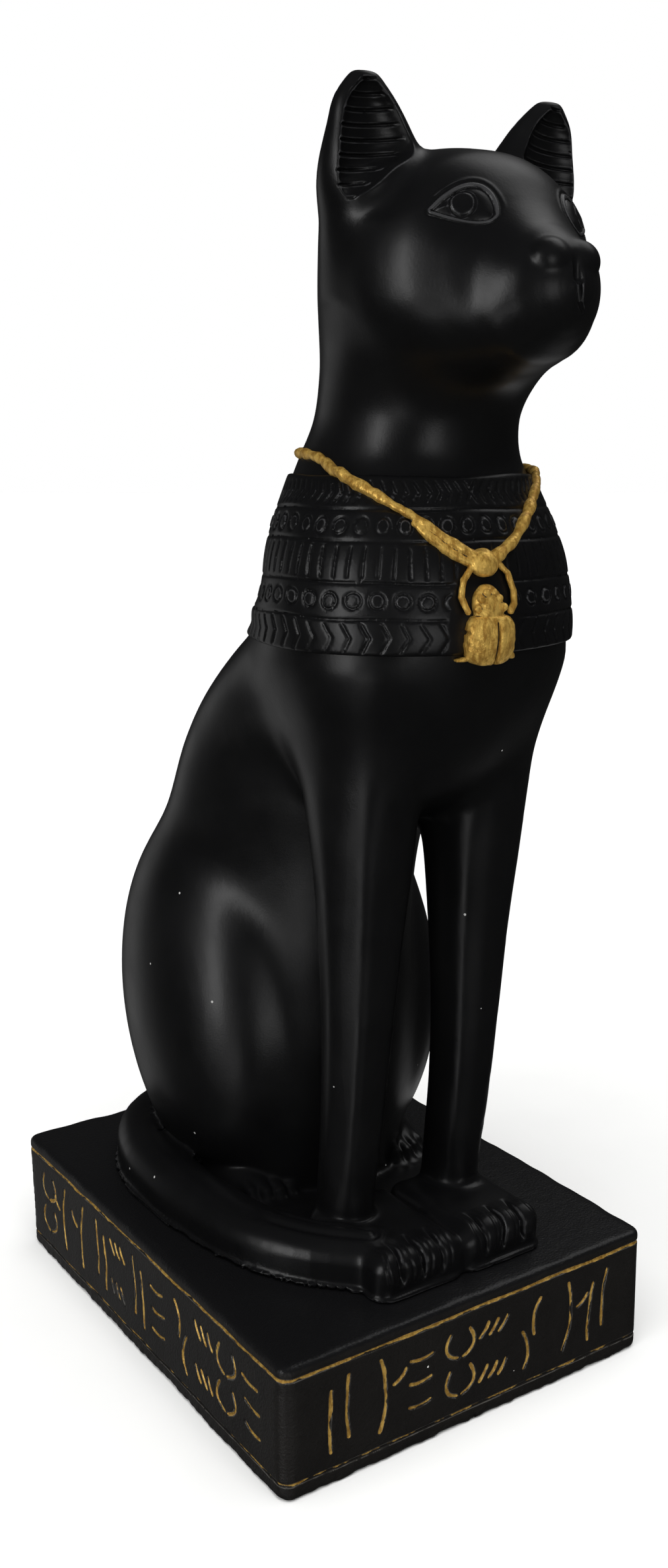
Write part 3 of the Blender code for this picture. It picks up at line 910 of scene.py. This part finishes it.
def body_field(points):
    own, side = cat_frame(points)
    mass = core(points)
    mass = join(mass, ball(side, *THIGH), 11)
    mass = mass - leg_relief(own, side)
    mass = join(mass, hind_foot(side), 2.5)
    mass = join(mass, front_paw(own, side), 3.0)
    mass = join(mass, block(own, *PAW_BRIDGE), 2.5)
    tail, tail_side = tail_field(own)
    mass = join(mass, tail, 2.0)
    under_paws = block(side * [1, 1, 0], (*PAW_CENTRE[:2], 0), (24.6, 34, 9), 4.0)
    inside = np.minimum(tail_side, under_paws)
    edge = CAT_BASE + FOOTING_HIGH + 0.12 * wobble(own, 14, 8)
    footing = cut(inside - FOOTING_OUT - 0.25 * wobble(own, 16, 9), edge - own[:, 2], 1.6)
    infill = block(side * [1, 1, 0], (12, -14, 0), (36, 60, 9), 12)
    infill = cut(infill, INFILL_TOP + 0.4 * wobble(own, 20, 4) - own[:, 2], 2.0)
    mass = join(join(mass, footing, 1.2), infill, 3.0)
    mass = cut(mass, own[:, 2] - CAT_BASE, 0.3)
    return cut(mass, BODY_TOP - own[:, 2], 1.0)


def body_face_size(points):
    own, side = cat_frame(points)
    toes = np.sqrt((np.maximum(np.abs(side - np.array([13.2, -58, 40])) - [13, 5, 6], 0) ** 2).sum(1))
    hind = np.sqrt((np.maximum(np.abs(side - np.array([23, -4, 39])) - [8, 12, 6], 0) ** 2).sum(1))
    tip = np.sqrt((np.maximum(np.abs(own - np.array([-25, -46, 42])) - [12, 14, 5], 0) ** 2).sum(1))
    seen = np.where(own[:, 1] < 30, 0.0, 1.0) + np.where(own[:, 0] > 10, 0.5, 0.0)
    near = np.minimum(np.minimum(toes, hind + seen), tip * 1.5)
    foot = np.abs(own[:, 2] - CAT_BASE - 0.8) * 2 + 1.5
    return np.interp(np.minimum(near, foot), [0, 7], [0.52, 2.5])


points, faces = skin_of(body_field, (-50, -80, 30), (52, 78, 209), 1.7, body_face_size, 5)
body = new_piece("cat_body", points, faces, resin, "cat")
store_wear_and_painted_light_masks(body, body_field, points)

# %% [markdown]
# The collar is a low relief pressed into the clay: rows of chevrons, rings and bars between ruled
# lines. It is a shell over the chest, and its pattern is drawn on the shell unrolled, where u is the
# length round the chest and z is the height. Booleans with hundreds of small cutters would be slow,
# and they would leave sharper edges than a worn mould has.

# %% Collar
PENDANT_U = -5.6
ROUND_STEPS = 720
turn = np.linspace(-math.pi, math.pi, ROUND_STEPS + 1)
centre_y, half_width, half_depth, square, _, _ = along(np.array([205.0]), CHEST)[:, 0]
outline_x = (half_width + COLLAR_PROUD) * np.sign(np.sin(turn)) * np.abs(np.sin(turn)) ** (2 / square)
outline_y = -(half_depth + COLLAR_PROUD) * np.sign(np.cos(turn)) * np.abs(np.cos(turn)) ** (2 / square)
outline_u = np.concatenate([[0], np.cumsum(np.hypot(np.diff(outline_x), np.diff(outline_y)))])
outline_turn = np.unwrap(np.arctan2(outline_x, -outline_y))
outline_u -= np.interp(0, outline_turn, outline_u)
COLLAR_LINES = (198.2, 206.0, 214.8, 221.3)
print("collar is", round(outline_u[-1] - outline_u[0], 1), "mm round")


def unrolled(own):
    """Length round the collar from the pendant, for points measured from the cat's middle plane."""
    angle = np.arctan2(own[:, 0], -(own[:, 1] - centre_y))
    return np.interp(angle, outline_turn, outline_u) - PENDANT_U


def stroke(distance, width):
    return np.exp(-((distance / width) ** 2))


def nearest(value, pitch):
    """Signed distance to the nearest multiple of pitch."""
    return value - pitch * np.round(value / pitch)


def chevrons(u, z, middle, half, pitch, lean, width):
    line = nearest(np.abs(u) - lean * np.abs(z - middle), pitch) / math.hypot(1, lean)
    return stroke(line, width) * np.clip((half - np.abs(z - middle)) / 0.7, 0, 1)


def rings(u, z, middle, pitch, radius, width):
    ring = np.hypot(nearest(u - pitch / 2, pitch), z - middle)
    return stroke(ring - radius, width) - 0.5 * (ring < radius) * np.clip((radius - ring) / 0.5, 0, 1)


def bars(u, z, middle, half, pitch, width):
    return stroke(nearest(u, pitch), width) * np.clip((half - np.abs(z - middle)) / 0.7, 0, 1)


def collar_relief(own):
    """How deep the collar is cut at each point."""
    z = own[:, 2] + 0.35 * wobble(own, 30, 11)
    u = unrolled(own) + 0.3 * wobble(own, 12, 12)
    cuts = 0.45 * chevrons(u, z, 194.3, 3.5, 4.2, 0.6, 0.36)
    cuts += 0.45 * rings(u, z, 202.2, 5.3, 1.7, 0.3)
    cuts += 0.45 * bars(u, z, 210.4, 3.7, 3.4, 0.34)
    cuts += 0.42 * rings(u, z, 218.0, 5.3, 1.7, 0.3)
    cuts += 0.38 * chevrons(u, z, 225.0, 2.7, 3.0, 0.7, 0.3)
    for line in COLLAR_LINES:
        cuts += 0.45 * stroke(z - line, 0.34)
    depth = 0.75 + 0.25 * wobble(own, 18, 13)
    pendant = np.hypot(u / 8.6, (own[:, 2] - 197.5) / 13.5)
    clear = np.clip((pendant - 1.0) / 0.12, 0, 1)
    for line, rise in ((194.3, 3.9), (210.4, 4.4)):
        cuts -= 0.3 * np.clip(1 - ((z - line) / rise) ** 2, 0, 1)
    return cuts * depth * clear + 0.45 * np.clip((1.0 - pendant) / 0.35, 0, 1)


def collar_shell(points):
    """The collar without its relief."""
    own, _ = cat_frame(points)
    shell = core(points) - COLLAR_PROUD
    shell = cut(shell, own[:, 2] - COLLAR_BOTTOM - 0.3 * wobble(own, 40, 14), 1.6)
    return cut(shell, COLLAR_TOP + 0.3 * wobble(own, 25, 15) - own[:, 2], 0.9)


def collar_field(points):
    own, _ = cat_frame(points)
    return collar_shell(points) + collar_relief(own) * np.clip((own[:, 2] - 189) / 2, 0, 1)


def collar_face_size(points):
    own, _ = cat_frame(points)
    outside = core(points) > 0.2
    behind = np.interp(own[:, 1], [-25, 0], [0.0, 0.2])
    busy = np.abs(collar_relief(own + [0.25, 0, 0.25]) - collar_relief(own - [0.25, 0, 0.25])) > 0.03
    return np.where(outside, 0.5 + behind + 0.35 * ~busy, 2.5)


points, faces = skin_of(collar_field, (-44, -80, 186), (52, 10, 232), 1.5, collar_face_size, 4)
collar = new_piece("collar", points, faces, resin, "cat")
store_wear_and_painted_light_masks(collar, collar_field, points)

# %% [markdown]
# The chain was rolled from thin clay and pressed on, so it swells and thins along its length. Its
# route is listed and then settled onto the collar. The scarab is built in the collar's own
# unrolled space, with e for the height above it, so that it follows the curve of the chest.

# %% Chain
CHAIN_LEFT = [
    (-4.5, -71.0, 209.9, 1.25),
    (-8.2, -70.5, 211.9, 1.15),
    (-11.3, -69.2, 213.8, 1.1),
    (-15.1, -67.0, 216.7, 1.05),
    (-18.6, -64.1, 219.9, 0.95),
    (-22.5, -60.3, 222.9, 1.0),
    (-25.6, -55.7, 225.9, 1.25),
    (-27.4, -50.4, 228.2, 1.3),
    (-27.4, -44.9, 230.3, 1.2),
    (-26.8, -38.0, 232.4, 1.1),
    (-25.4, -29.0, 233.6, 1.1),
    (-22.5, -20.5, 234.0, 1.1),
    (-17.0, -14.5, 234.2, 1.1),
    (-9.0, -11.0, 233.6, 1.1),
    (0.0, -10.0, 233.2, 1.1),
]
CHAIN_RIGHT = [
    (-4.5, -71.0, 209.9, 1.3),
    (-1.0, -71.2, 212.0, 1.5),
    (3.8, -70.2, 214.8, 1.1),
    (8.9, -68.0, 219.0, 1.25),
    (14.5, -64.6, 223.5, 1.2),
    (19.5, -60.5, 227.2, 1.05),
    (24.0, -55.0, 229.6, 1.15),
    (26.6, -47.0, 230.8, 1.2),
    (27.4, -38.0, 231.6, 1.2),
    (26.0, -29.0, 232.4, 1.2),
    (22.5, -20.5, 233.0, 1.2),
    (17.0, -14.5, 233.2, 1.15),
    (9.0, -11.0, 233.2, 1.15),
    (0.0, -10.0, 233.2, 1.15),
]
CHAIN_SECOND = [
    (-4.5, -71.2, 208.6, 0.9),
    (-8.0, -70.6, 209.9, 0.95),
    (-12.2, -69.2, 211.9, 1.0),
    (-16.6, -66.6, 215.6, 0.95),
    (-19.4, -64.2, 218.9, 0.7),
]
CHAIN_STEP = 1.1
LUMP_PITCH = 6.2


def resting_place(points):
    """Surface that the chain lies on: the collar, and above it the neck."""
    return join(collar_shell(points), core(points) - 0.1, 4)


def chain_line(stations, seed):
    """Points and radii along one strand: lumpy, and resting on the collar and the neck."""
    rows = np.array(stations, float)
    run = np.concatenate([[0], np.cumsum(np.sqrt((np.diff(rows[:, :3], axis=0) ** 2).sum(1)))])
    place = np.arange(0, run[-1], CHAIN_STEP)
    x, y, z, radius = along(place, np.column_stack([run, rows]))
    line = np.stack([x, y, z], 1)
    for _ in range(3):
        world_line = line + [CAT_X, 0, 0]
        slope = gradient(resting_place, world_line)
        line = line - slope * (resting_place(world_line) - 0.3)[:, None]
    lumps = 0.27 * np.abs(np.sin(np.pi * place / LUMP_PITCH)) - 0.14
    return line, radius * (1 + lumps + 0.08 * wobble(line, 5, seed))


strands = [chain_line(CHAIN_LEFT, 21), chain_line(CHAIN_RIGHT, 22), chain_line(CHAIN_SECOND, 23)]


def chain_field(points):
    own, _ = cat_frame(points)
    total = np.full(len(own), 1e9)
    for line, radius in strands:
        total = join(total, tube(own, line, radius), 0.5)
    return total + 0.10 * wobble(own, 2.6, 24)


points, faces = skin_of(
    chain_field, (-34, -78, 204), (42, 2, 238), 0.7, lambda p: np.where(p[:, 1] < -30, 0.4, 0.8), 2
)
chain = new_piece("neck_chain", points, faces, gold, "cat")
store_wear_and_painted_light_masks(chain, chain_field, points)

# %% [markdown]
# The pendant is a scarab that holds a disc: two wing cases with a seam, a beaded head, and thin legs.
# It lies on the collar, so it is built in the collar's unrolled space, where each of its masses is a
# plain ball or bar that bends round the chest with the collar.

# %% Scarab
DISC = ((0.0, 210.1, 0.4), (3.6, 3.1, 2.7))
FORE_LIMBS = (
    [(-3.0, 209.4, 0.6), (-5.5, 206.6, 1.0), (-6.2, 203.0, 1.0), (-4.8, 199.9, 1.0)],
    [(3.2, 210.6, 0.6), (5.8, 207.8, 1.0), (6.9, 204.2, 1.0), (6.7, 201.2, 1.0), (5.6, 199.6, 1.0)],
)
REAR_LIMBS = (
    [(-4.2, 189.6, 0.6), (-6.6, 188.9, 0.6), (-7.6, 187.2, 0.4)],
    [(6.0, 190.6, 0.6), (7.4, 188.6, 0.6), (6.6, 186.4, 0.4)],
)
BEADS = [
    (-2.9, 200.6),
    (-1.9, 202.6),
    (-0.6, 203.9),
    (1.1, 204.0),
    (2.4, 202.7),
    (3.4, 200.7),
    (-0.9, 201.2),
    (1.2, 201.3),
]


def scarab_space(points):
    """Unrolled width, height and lift above the collar."""
    own, _ = cat_frame(points)
    return np.stack([unrolled(own), own[:, 2], collar_shell(points)], 1)


def scarab_field(points):
    p = scarab_space(points)
    q = np.abs((p - [0.7, 193.6, 0.0]) / [5.9, 6.4, 3.3])
    cases = ((q**2.8).sum(1) ** (1 / 2.8) - 1) * 3.3
    seam = stroke(p[:, 0] - 1.4, 0.36) * np.clip((198.2 - p[:, 1]) / 1.5, 0, 1)
    notch = np.hypot(p[:, 0] + 5.0, p[:, 1] - 195.4) - 0.5
    total = np.maximum(cases + 1.0 * seam, -notch)
    total = total + 0.2 * stroke(p[:, 1] - 199.0, 0.3)
    total = join(total, ball(p, (0.3, 201.0, 0.2), (3.7, 4.6, 2.4)), 0.4)
    for x, z in BEADS:
        total = join(total, ball(p, (x, z, 1.9), (0.85, 0.85, 0.8)), 0.4)
    total = join(total, ball(p, *DISC), 0.4)
    for limb in FORE_LIMBS:
        total = join(total, tube(p, limb, [0.75, 0.7, 0.7, 0.7, 0.7]), 0.35)
    for limb in REAR_LIMBS:
        total = join(total, tube(p, limb, [0.7, 0.65, 0.6]), 0.35)
    return np.maximum(total + 0.07 * wobble(p, 2.2, 31), -1.0 - p[:, 2])


def scarab_face_size(points):
    return np.full(len(points), 0.32)


points, faces = skin_of(scarab_field, (-14, -80, 183), (14, -62, 216), 0.55, scarab_face_size, 2)
scarab = new_piece("scarab", points, faces, gold, "cat")
store_wear_and_painted_light_masks(scarab, scarab_field, points)


# %% [markdown]
# The plinth carries rows of shallow gilt strokes in place of writing, between two ruled lines. They
# are straight, slanted or slightly bent, and each side gets its own rows from the same few patterns.
# The strokes are first drawn on a flat grid as distances, so that the skin, the groove and the gilding
# can all look up the same drawing.

# %% Strokes on the plinth
PLINTH_SIZE = np.array([112.2, 143.4, 34.2])
PLINTH_CORNER = 3.2
PLINTH_EDGE = 1.3
ROW_LOW, ROW_HIGH = 8.0, 27.5
UPPER_LINE, LOWER_LINE = 30.9, 4.2
SLOT = 11.6
GRID = 0.2
LINE_HALF = 0.32


def bent(x, z, length, lean, bend, count=7):
    """Points of one stroke: it leans by an angle and bows sideways."""
    t = np.linspace(-0.5, 0.5, count)
    away = bend * (1 - 4 * t**2)
    c, s = math.cos(math.radians(lean)), math.sin(math.radians(lean))
    return np.stack([x + length * t * s + away * c, z + length * t * c - away * s], 1)


def pattern(kind, x, random):
    """Strokes of one group, centred at x."""
    middle = (ROW_LOW + ROW_HIGH) / 2
    tall = ROW_HIGH - ROW_LOW
    lean = random.uniform(-7, 7)
    if kind == 0:
        return [bent(x, middle, tall * 0.95, lean, 1.6), bent(x + 5.8, middle + 3, 4.6, lean + 50, 0.4)]
    if kind == 1:
        return [bent(x + d, middle + 0.5 * d, tall * 0.8, lean, -0.5) for d in (-2.4, 2.4)]
    if kind == 2:
        return [bent(x + random.uniform(-0.8, 0.8), z, 6.5, 84 + lean, 0.5) for z in (11.5, 17.5, 23.5)]
    if kind == 3:
        return [bent(x + d, z, 7.5, 10 * d, 1.3 * d) for d in (-1.9, 1.9) for z in (12.5, 22.5)]
    if kind == 4:
        return [bent(x + d, z, 4.2, 35, 0.2) for d in (-3, 0, 3) for z in (12.0, 23.8)]
    return [bent(x - 2.2, 13.5, 10.5, lean, 1.8), bent(x + 2.6, 21.5, 9.5, lean + 14, -1.4)]


def drawn_side(length, seed):
    """Grid of distances to the strokes of one side, from its middle line at s = 0."""
    random = np.random.default_rng(seed)
    s = np.arange(-length / 2, length / 2 + GRID, GRID)
    z = np.arange(0, PLINTH_SIZE[2] + GRID, GRID)
    grid = np.stack(np.meshgrid(s, z, indexing="ij"), -1)
    best = np.minimum(abs(grid[..., 1] - UPPER_LINE), abs(grid[..., 1] - LOWER_LINE))
    count = int((length - 8) // SLOT)
    kinds = random.permutation(np.arange(count) % 6)
    for i, kind in enumerate(kinds):
        x = (i - (count - 1) / 2) * SLOT + random.uniform(-0.7, 0.7)
        for line in pattern(kind, x, random):
            for a, b in zip(line, line[1:]):
                run = b - a
                t = np.clip((grid - a) @ run / (run @ run), 0, 1)
                gap = grid - a - t[..., None] * run
                best = np.minimum(best, np.hypot(gap[..., 0], gap[..., 1]))
    return np.minimum(best, 5.0)


drawn = {
    "front": drawn_side(PLINTH_SIZE[0], 41),
    "back": drawn_side(PLINTH_SIZE[0], 42),
    "right": drawn_side(PLINTH_SIZE[1], 43),
    "left": drawn_side(PLINTH_SIZE[1], 44),
}


def looked_up(grid, s, z, length):
    """Value between the four nearest grid places."""
    a = np.clip((s + length / 2) / GRID, 0, grid.shape[0] - 1.001)
    b = np.clip(z / GRID, 0, grid.shape[1] - 1.001)
    i, j = a.astype(int), b.astype(int)
    a, b = a - i, b - j
    low = grid[i, j] * (1 - a) + grid[i + 1, j] * a
    high = grid[i, j + 1] * (1 - a) + grid[i + 1, j + 1] * a
    return low * (1 - b) + high * b


def from_strokes(points):
    """Distance to the nearest stroke or ruled line on the side that a point is nearest to."""
    out = np.abs(points[:, :2]) - PLINTH_SIZE[:2] / 2
    z = points[:, 2] + 0.25 * wobble(points, 18, 45)
    ends = out[:, 1] > out[:, 0]
    across = np.where(ends, points[:, 0], points[:, 1]) + 0.25 * wobble(points, 9, 46)
    total = np.full(len(points), 5.0)
    for name, there, length in (
        ("front", ends & (points[:, 1] < 0), PLINTH_SIZE[0]),
        ("back", ends & (points[:, 1] > 0), PLINTH_SIZE[0]),
        ("right", ~ends & (points[:, 0] < 0), PLINTH_SIZE[1]),
        ("left", ~ends & (points[:, 0] > 0), PLINTH_SIZE[1]),
    ):
        total[there] = looked_up(drawn[name], across[there], z[there], length)
    return total + np.clip(-out.max(1) - 4, 0, 5)


def plinth_field(points):
    out = np.abs(points - [0, 0, PLINTH_SIZE[2] / 2]) - PLINTH_SIZE / 2
    out += 0.12 * wobble(points, 45, 47)[:, None] * [1, 1, 0] + 0.1
    flat = out[:, :2] + PLINTH_CORNER
    walls = np.hypot(*np.maximum(flat, 0).T) + np.minimum(flat.max(1), 0) - PLINTH_CORNER
    edge = PLINTH_EDGE + 0.5 * wobble(points, 12, 48)
    walls, rise = walls + edge, out[:, 2] + edge
    outside = np.hypot(np.maximum(walls, 0), np.maximum(rise, 0))
    solid = outside + np.minimum(np.maximum(walls, rise), 0) - edge
    chips = 0.16 * wobble(points, 3.5, 49) * np.clip((3.0 - points[:, 2]) / 2, 0, 1)
    groove = 0.5 * stroke(from_strokes(points), LINE_HALF) * np.clip((32.4 - points[:, 2]) / 1, 0, 1)
    return solid + groove + chips * (points[:, 2] > 0.5)


def plinth_face_size(points):
    near = from_strokes(points)
    edge = np.abs(np.minimum(points[:, 2], PLINTH_SIZE[2] - points[:, 2]) - 0.7) + 1.0
    side = (np.abs(points[:, :2]) - PLINTH_SIZE[:2] / 2).max(1) > -2.0
    return np.where(side, np.interp(np.minimum(near, edge), [0.5, 4.0], [0.47, 3.0]), 4.0)


# %% [markdown]
# The plinth has the same resin with a duller skin on its sides. Its gold sits only in the strokes: a
# number on the mesh says how near a stroke is, and noise breaks the paint up, most near the floor.

# %% Material: plinth
plinth_black, tree, shader, place = new_material("plinth_black")
skin = place_group(tree, grain, Place=place, Peel=1.6, Scratches=0.6)
speck = place_group(tree, dust, Place=place, Rarity=0.99, Size=0.1)["Speck"]
worn = place_group(tree, rubbed, Place=place, Ridge=mesh_number(tree, "ridge"), Reach=0.5)["Worn"]
rise = put(tree, "ShaderNodeSeparateXYZ", {0: place}).outputs["Z"]
top = ramp(tree, rise, 0.0325, 0.0335)
color = blend_colors(tree, skin["Cloud"], (0.004, 0.0035, 0.0032, 1), (0.010, 0.0088, 0.0078, 1))
color = blend_colors(tree, top, color, (0.0042, 0.0042, 0.0045, 1))
# The pale line on the plinth's edges is partly wear and partly a painted highlight.
color = blend_colors(tree, calculate(tree, "MULTIPLY", worn, 0.6), color, (0.10, 0.095, 0.085, 1))
color = blend_colors(tree, speck, color, (0.4, 0.4, 0.38, 1))
gilt = mesh_number(tree, "gilt")
gaps = noise(tree, place, 190.0, 5.0, 0.6)
share = calculate(tree, "ADD", gilt, calculate(tree, "MULTIPLY", calculate(tree, "SUBTRACT", gaps, 0.5), 1.5))
low_wear = ramp(tree, rise, 0.003, 0.008, 0.35, 0.0)
gilded = ramp(tree, calculate(tree, "SUBTRACT", share, low_wear), 0.52, 0.66)
gilded = calculate(tree, "MULTIPLY", gilded, ramp(tree, gilt, 0.25, 0.4))
paint, patches = gold_color(tree, place)
thin_paint = calculate(tree, "MULTIPLY", gilded, 0.75)
tree.links.new(blend_colors(tree, thin_paint, color, paint), shader.inputs["Base Color"])
tree.links.new(calculate(tree, "MULTIPLY", gilded, 0.6), shader.inputs["Metallic"])
rough = ramp(tree, top, 0.0, 1.0, 0.52, 0.36)
smoother = calculate(tree, "MULTIPLY", gilded, 0.1)
tree.links.new(calculate(tree, "SUBTRACT", rough, smoother), shader.inputs["Roughness"])
bump(tree, shader, skin["Height"], 0.4, 0.00018)
print("made", plinth_black.name)

# %% [markdown]
# The block, its rounded edges and its shallow strokes are one distance, so one mesh holds them all,
# with small faces only along the strokes and the edges.

# %% The plinth as a mesh
points, faces = skin_of(plinth_field, (-59, -75, -3), (59, 75, 37), 2.4, plinth_face_size, 5)
plinth = new_piece("plinth_block", points, faces, plinth_black, "plinth")
store_wear_and_painted_light_masks(plinth, plinth_field, points)
store_number(plinth, "gilt", 1 - from_strokes(points) / 0.9)

# %% [markdown]
# The figure stands on a plain pale floor under a bright, even sky, so that it shows up black against
# white. What it mirrors is separate: a dark room with a few soft patches of light, placed where the
# long highlights on a glossy black cat need them. A patch in the sky gives one soft highlight on every
# surface that faces it, and it adds no noise, as a small lamp would. Two wide suns, which no gloss
# mirrors, brighten the floor and the gold.

# %% Floor and lights
floor_mesh = bpy.data.meshes.new("floor")
FLOOR_REACH = 9.0
SIDES = 48
turns = [2 * math.pi * i / SIDES for i in range(SIDES)]
ring = [(FLOOR_REACH * math.cos(turn), FLOOR_REACH * math.sin(turn), 0.0) for turn in turns]
floor_mesh.from_pydata(ring, [], [tuple(range(SIDES))])
floor_mesh.shade_smooth()
floor = bpy.data.objects.new("floor", floor_mesh)
bpy.context.scene.collection.objects.link(floor)
pale, tree, shader, place = new_material("pale_floor")
tree.links.new(
    blend_colors(tree, noise(tree, place, 30.0), (0.86, 0.86, 0.85, 1), (0.9, 0.9, 0.89, 1)),
    shader.inputs["Base Color"],
)
shader.inputs["Roughness"].default_value = 0.9
floor_mesh.materials.append(pale)

daylight = bpy.data.lights.new("daylight", "SUN")
daylight.energy = 3.0
daylight.angle = 1.2
sun = bpy.data.objects.new("daylight", daylight)
sun.rotation_euler = (0.25, -0.2, 0)
sun.visible_glossy = False
bpy.context.scene.collection.objects.link(sun)
front_light = bpy.data.lights.new("front_light", "SUN")
front_light.energy = 1.5
front_light.angle = 1.6
front_sun = bpy.data.objects.new("front_light", front_light)
front_sun.rotation_euler = (math.radians(58), 0, math.radians(-38))
front_sun.visible_glossy = False
bpy.context.scene.collection.objects.link(front_sun)
floor.visible_glossy = False

# turn from straight ahead of the cat and height in degrees, half width, half height, strength
PANELS = [
    (-81, 4, 7, 20, 4.2),
    (-12, -4, 10, 14, 1.5),
    (98, 55, 24, 15, 1.0),
    (-166, -15, 14, 26, 0.35),
    (-64, -27, 8, 6, 1.6),
    (131, -42, 22, 13, 0.5),
]


def dot_product(tree, first, second):
    return put(tree, "ShaderNodeVectorMath", {0: first, 1: second}, operation="DOT_PRODUCT").outputs["Value"]


def panel_light(tree, direction, panel):
    """Soft-edged rectangle of light in the surroundings."""
    turn, height, half_width, half_height, strength = [math.radians(v) for v in panel[:4]] + [panel[4]]
    ahead = Vector((math.sin(turn) * math.cos(height), -math.cos(turn) * math.cos(height), math.sin(height)))
    beside = Vector((math.cos(turn), math.sin(turn), 0))
    above = beside.cross(-ahead)
    total = None
    for axis, low, high in (
        (beside, math.sin(half_width) * 1.25, math.sin(half_width) * 0.6),
        (above, math.sin(half_height) * 1.2, math.sin(half_height) * 0.7),
    ):
        inside = ramp(tree, calculate(tree, "ABSOLUTE", dot_product(tree, direction, axis)), low, high)
        total = inside if total is None else calculate(tree, "MULTIPLY", total, inside)
    front = ramp(tree, dot_product(tree, direction, ahead), 0.0, 0.1)
    total = calculate(tree, "MULTIPLY", total, front)
    return calculate(tree, "MULTIPLY", total, strength)


world = bpy.data.worlds.new("studio")
bpy.context.scene.world = world
world.use_nodes = True
tree = world.node_tree
background = tree.nodes["Background"]
background.inputs["Color"].default_value = (1, 1, 1, 1)
direction = put(tree, "ShaderNodeTexCoord").outputs["Generated"]
seen = put(tree, "ShaderNodeLightPath").outputs["Is Camera Ray"]
total = 0.02
for panel in PANELS:
    total = calculate(tree, "ADD", panel_light(tree, direction, panel), total)
share = calculate(tree, "MULTIPLY", total, calculate(tree, "SUBTRACT", 1.0, seen))
tree.links.new(calculate(tree, "ADD", share, seen), background.inputs["Strength"])
bpy.context.scene.view_settings.view_transform = "Standard"
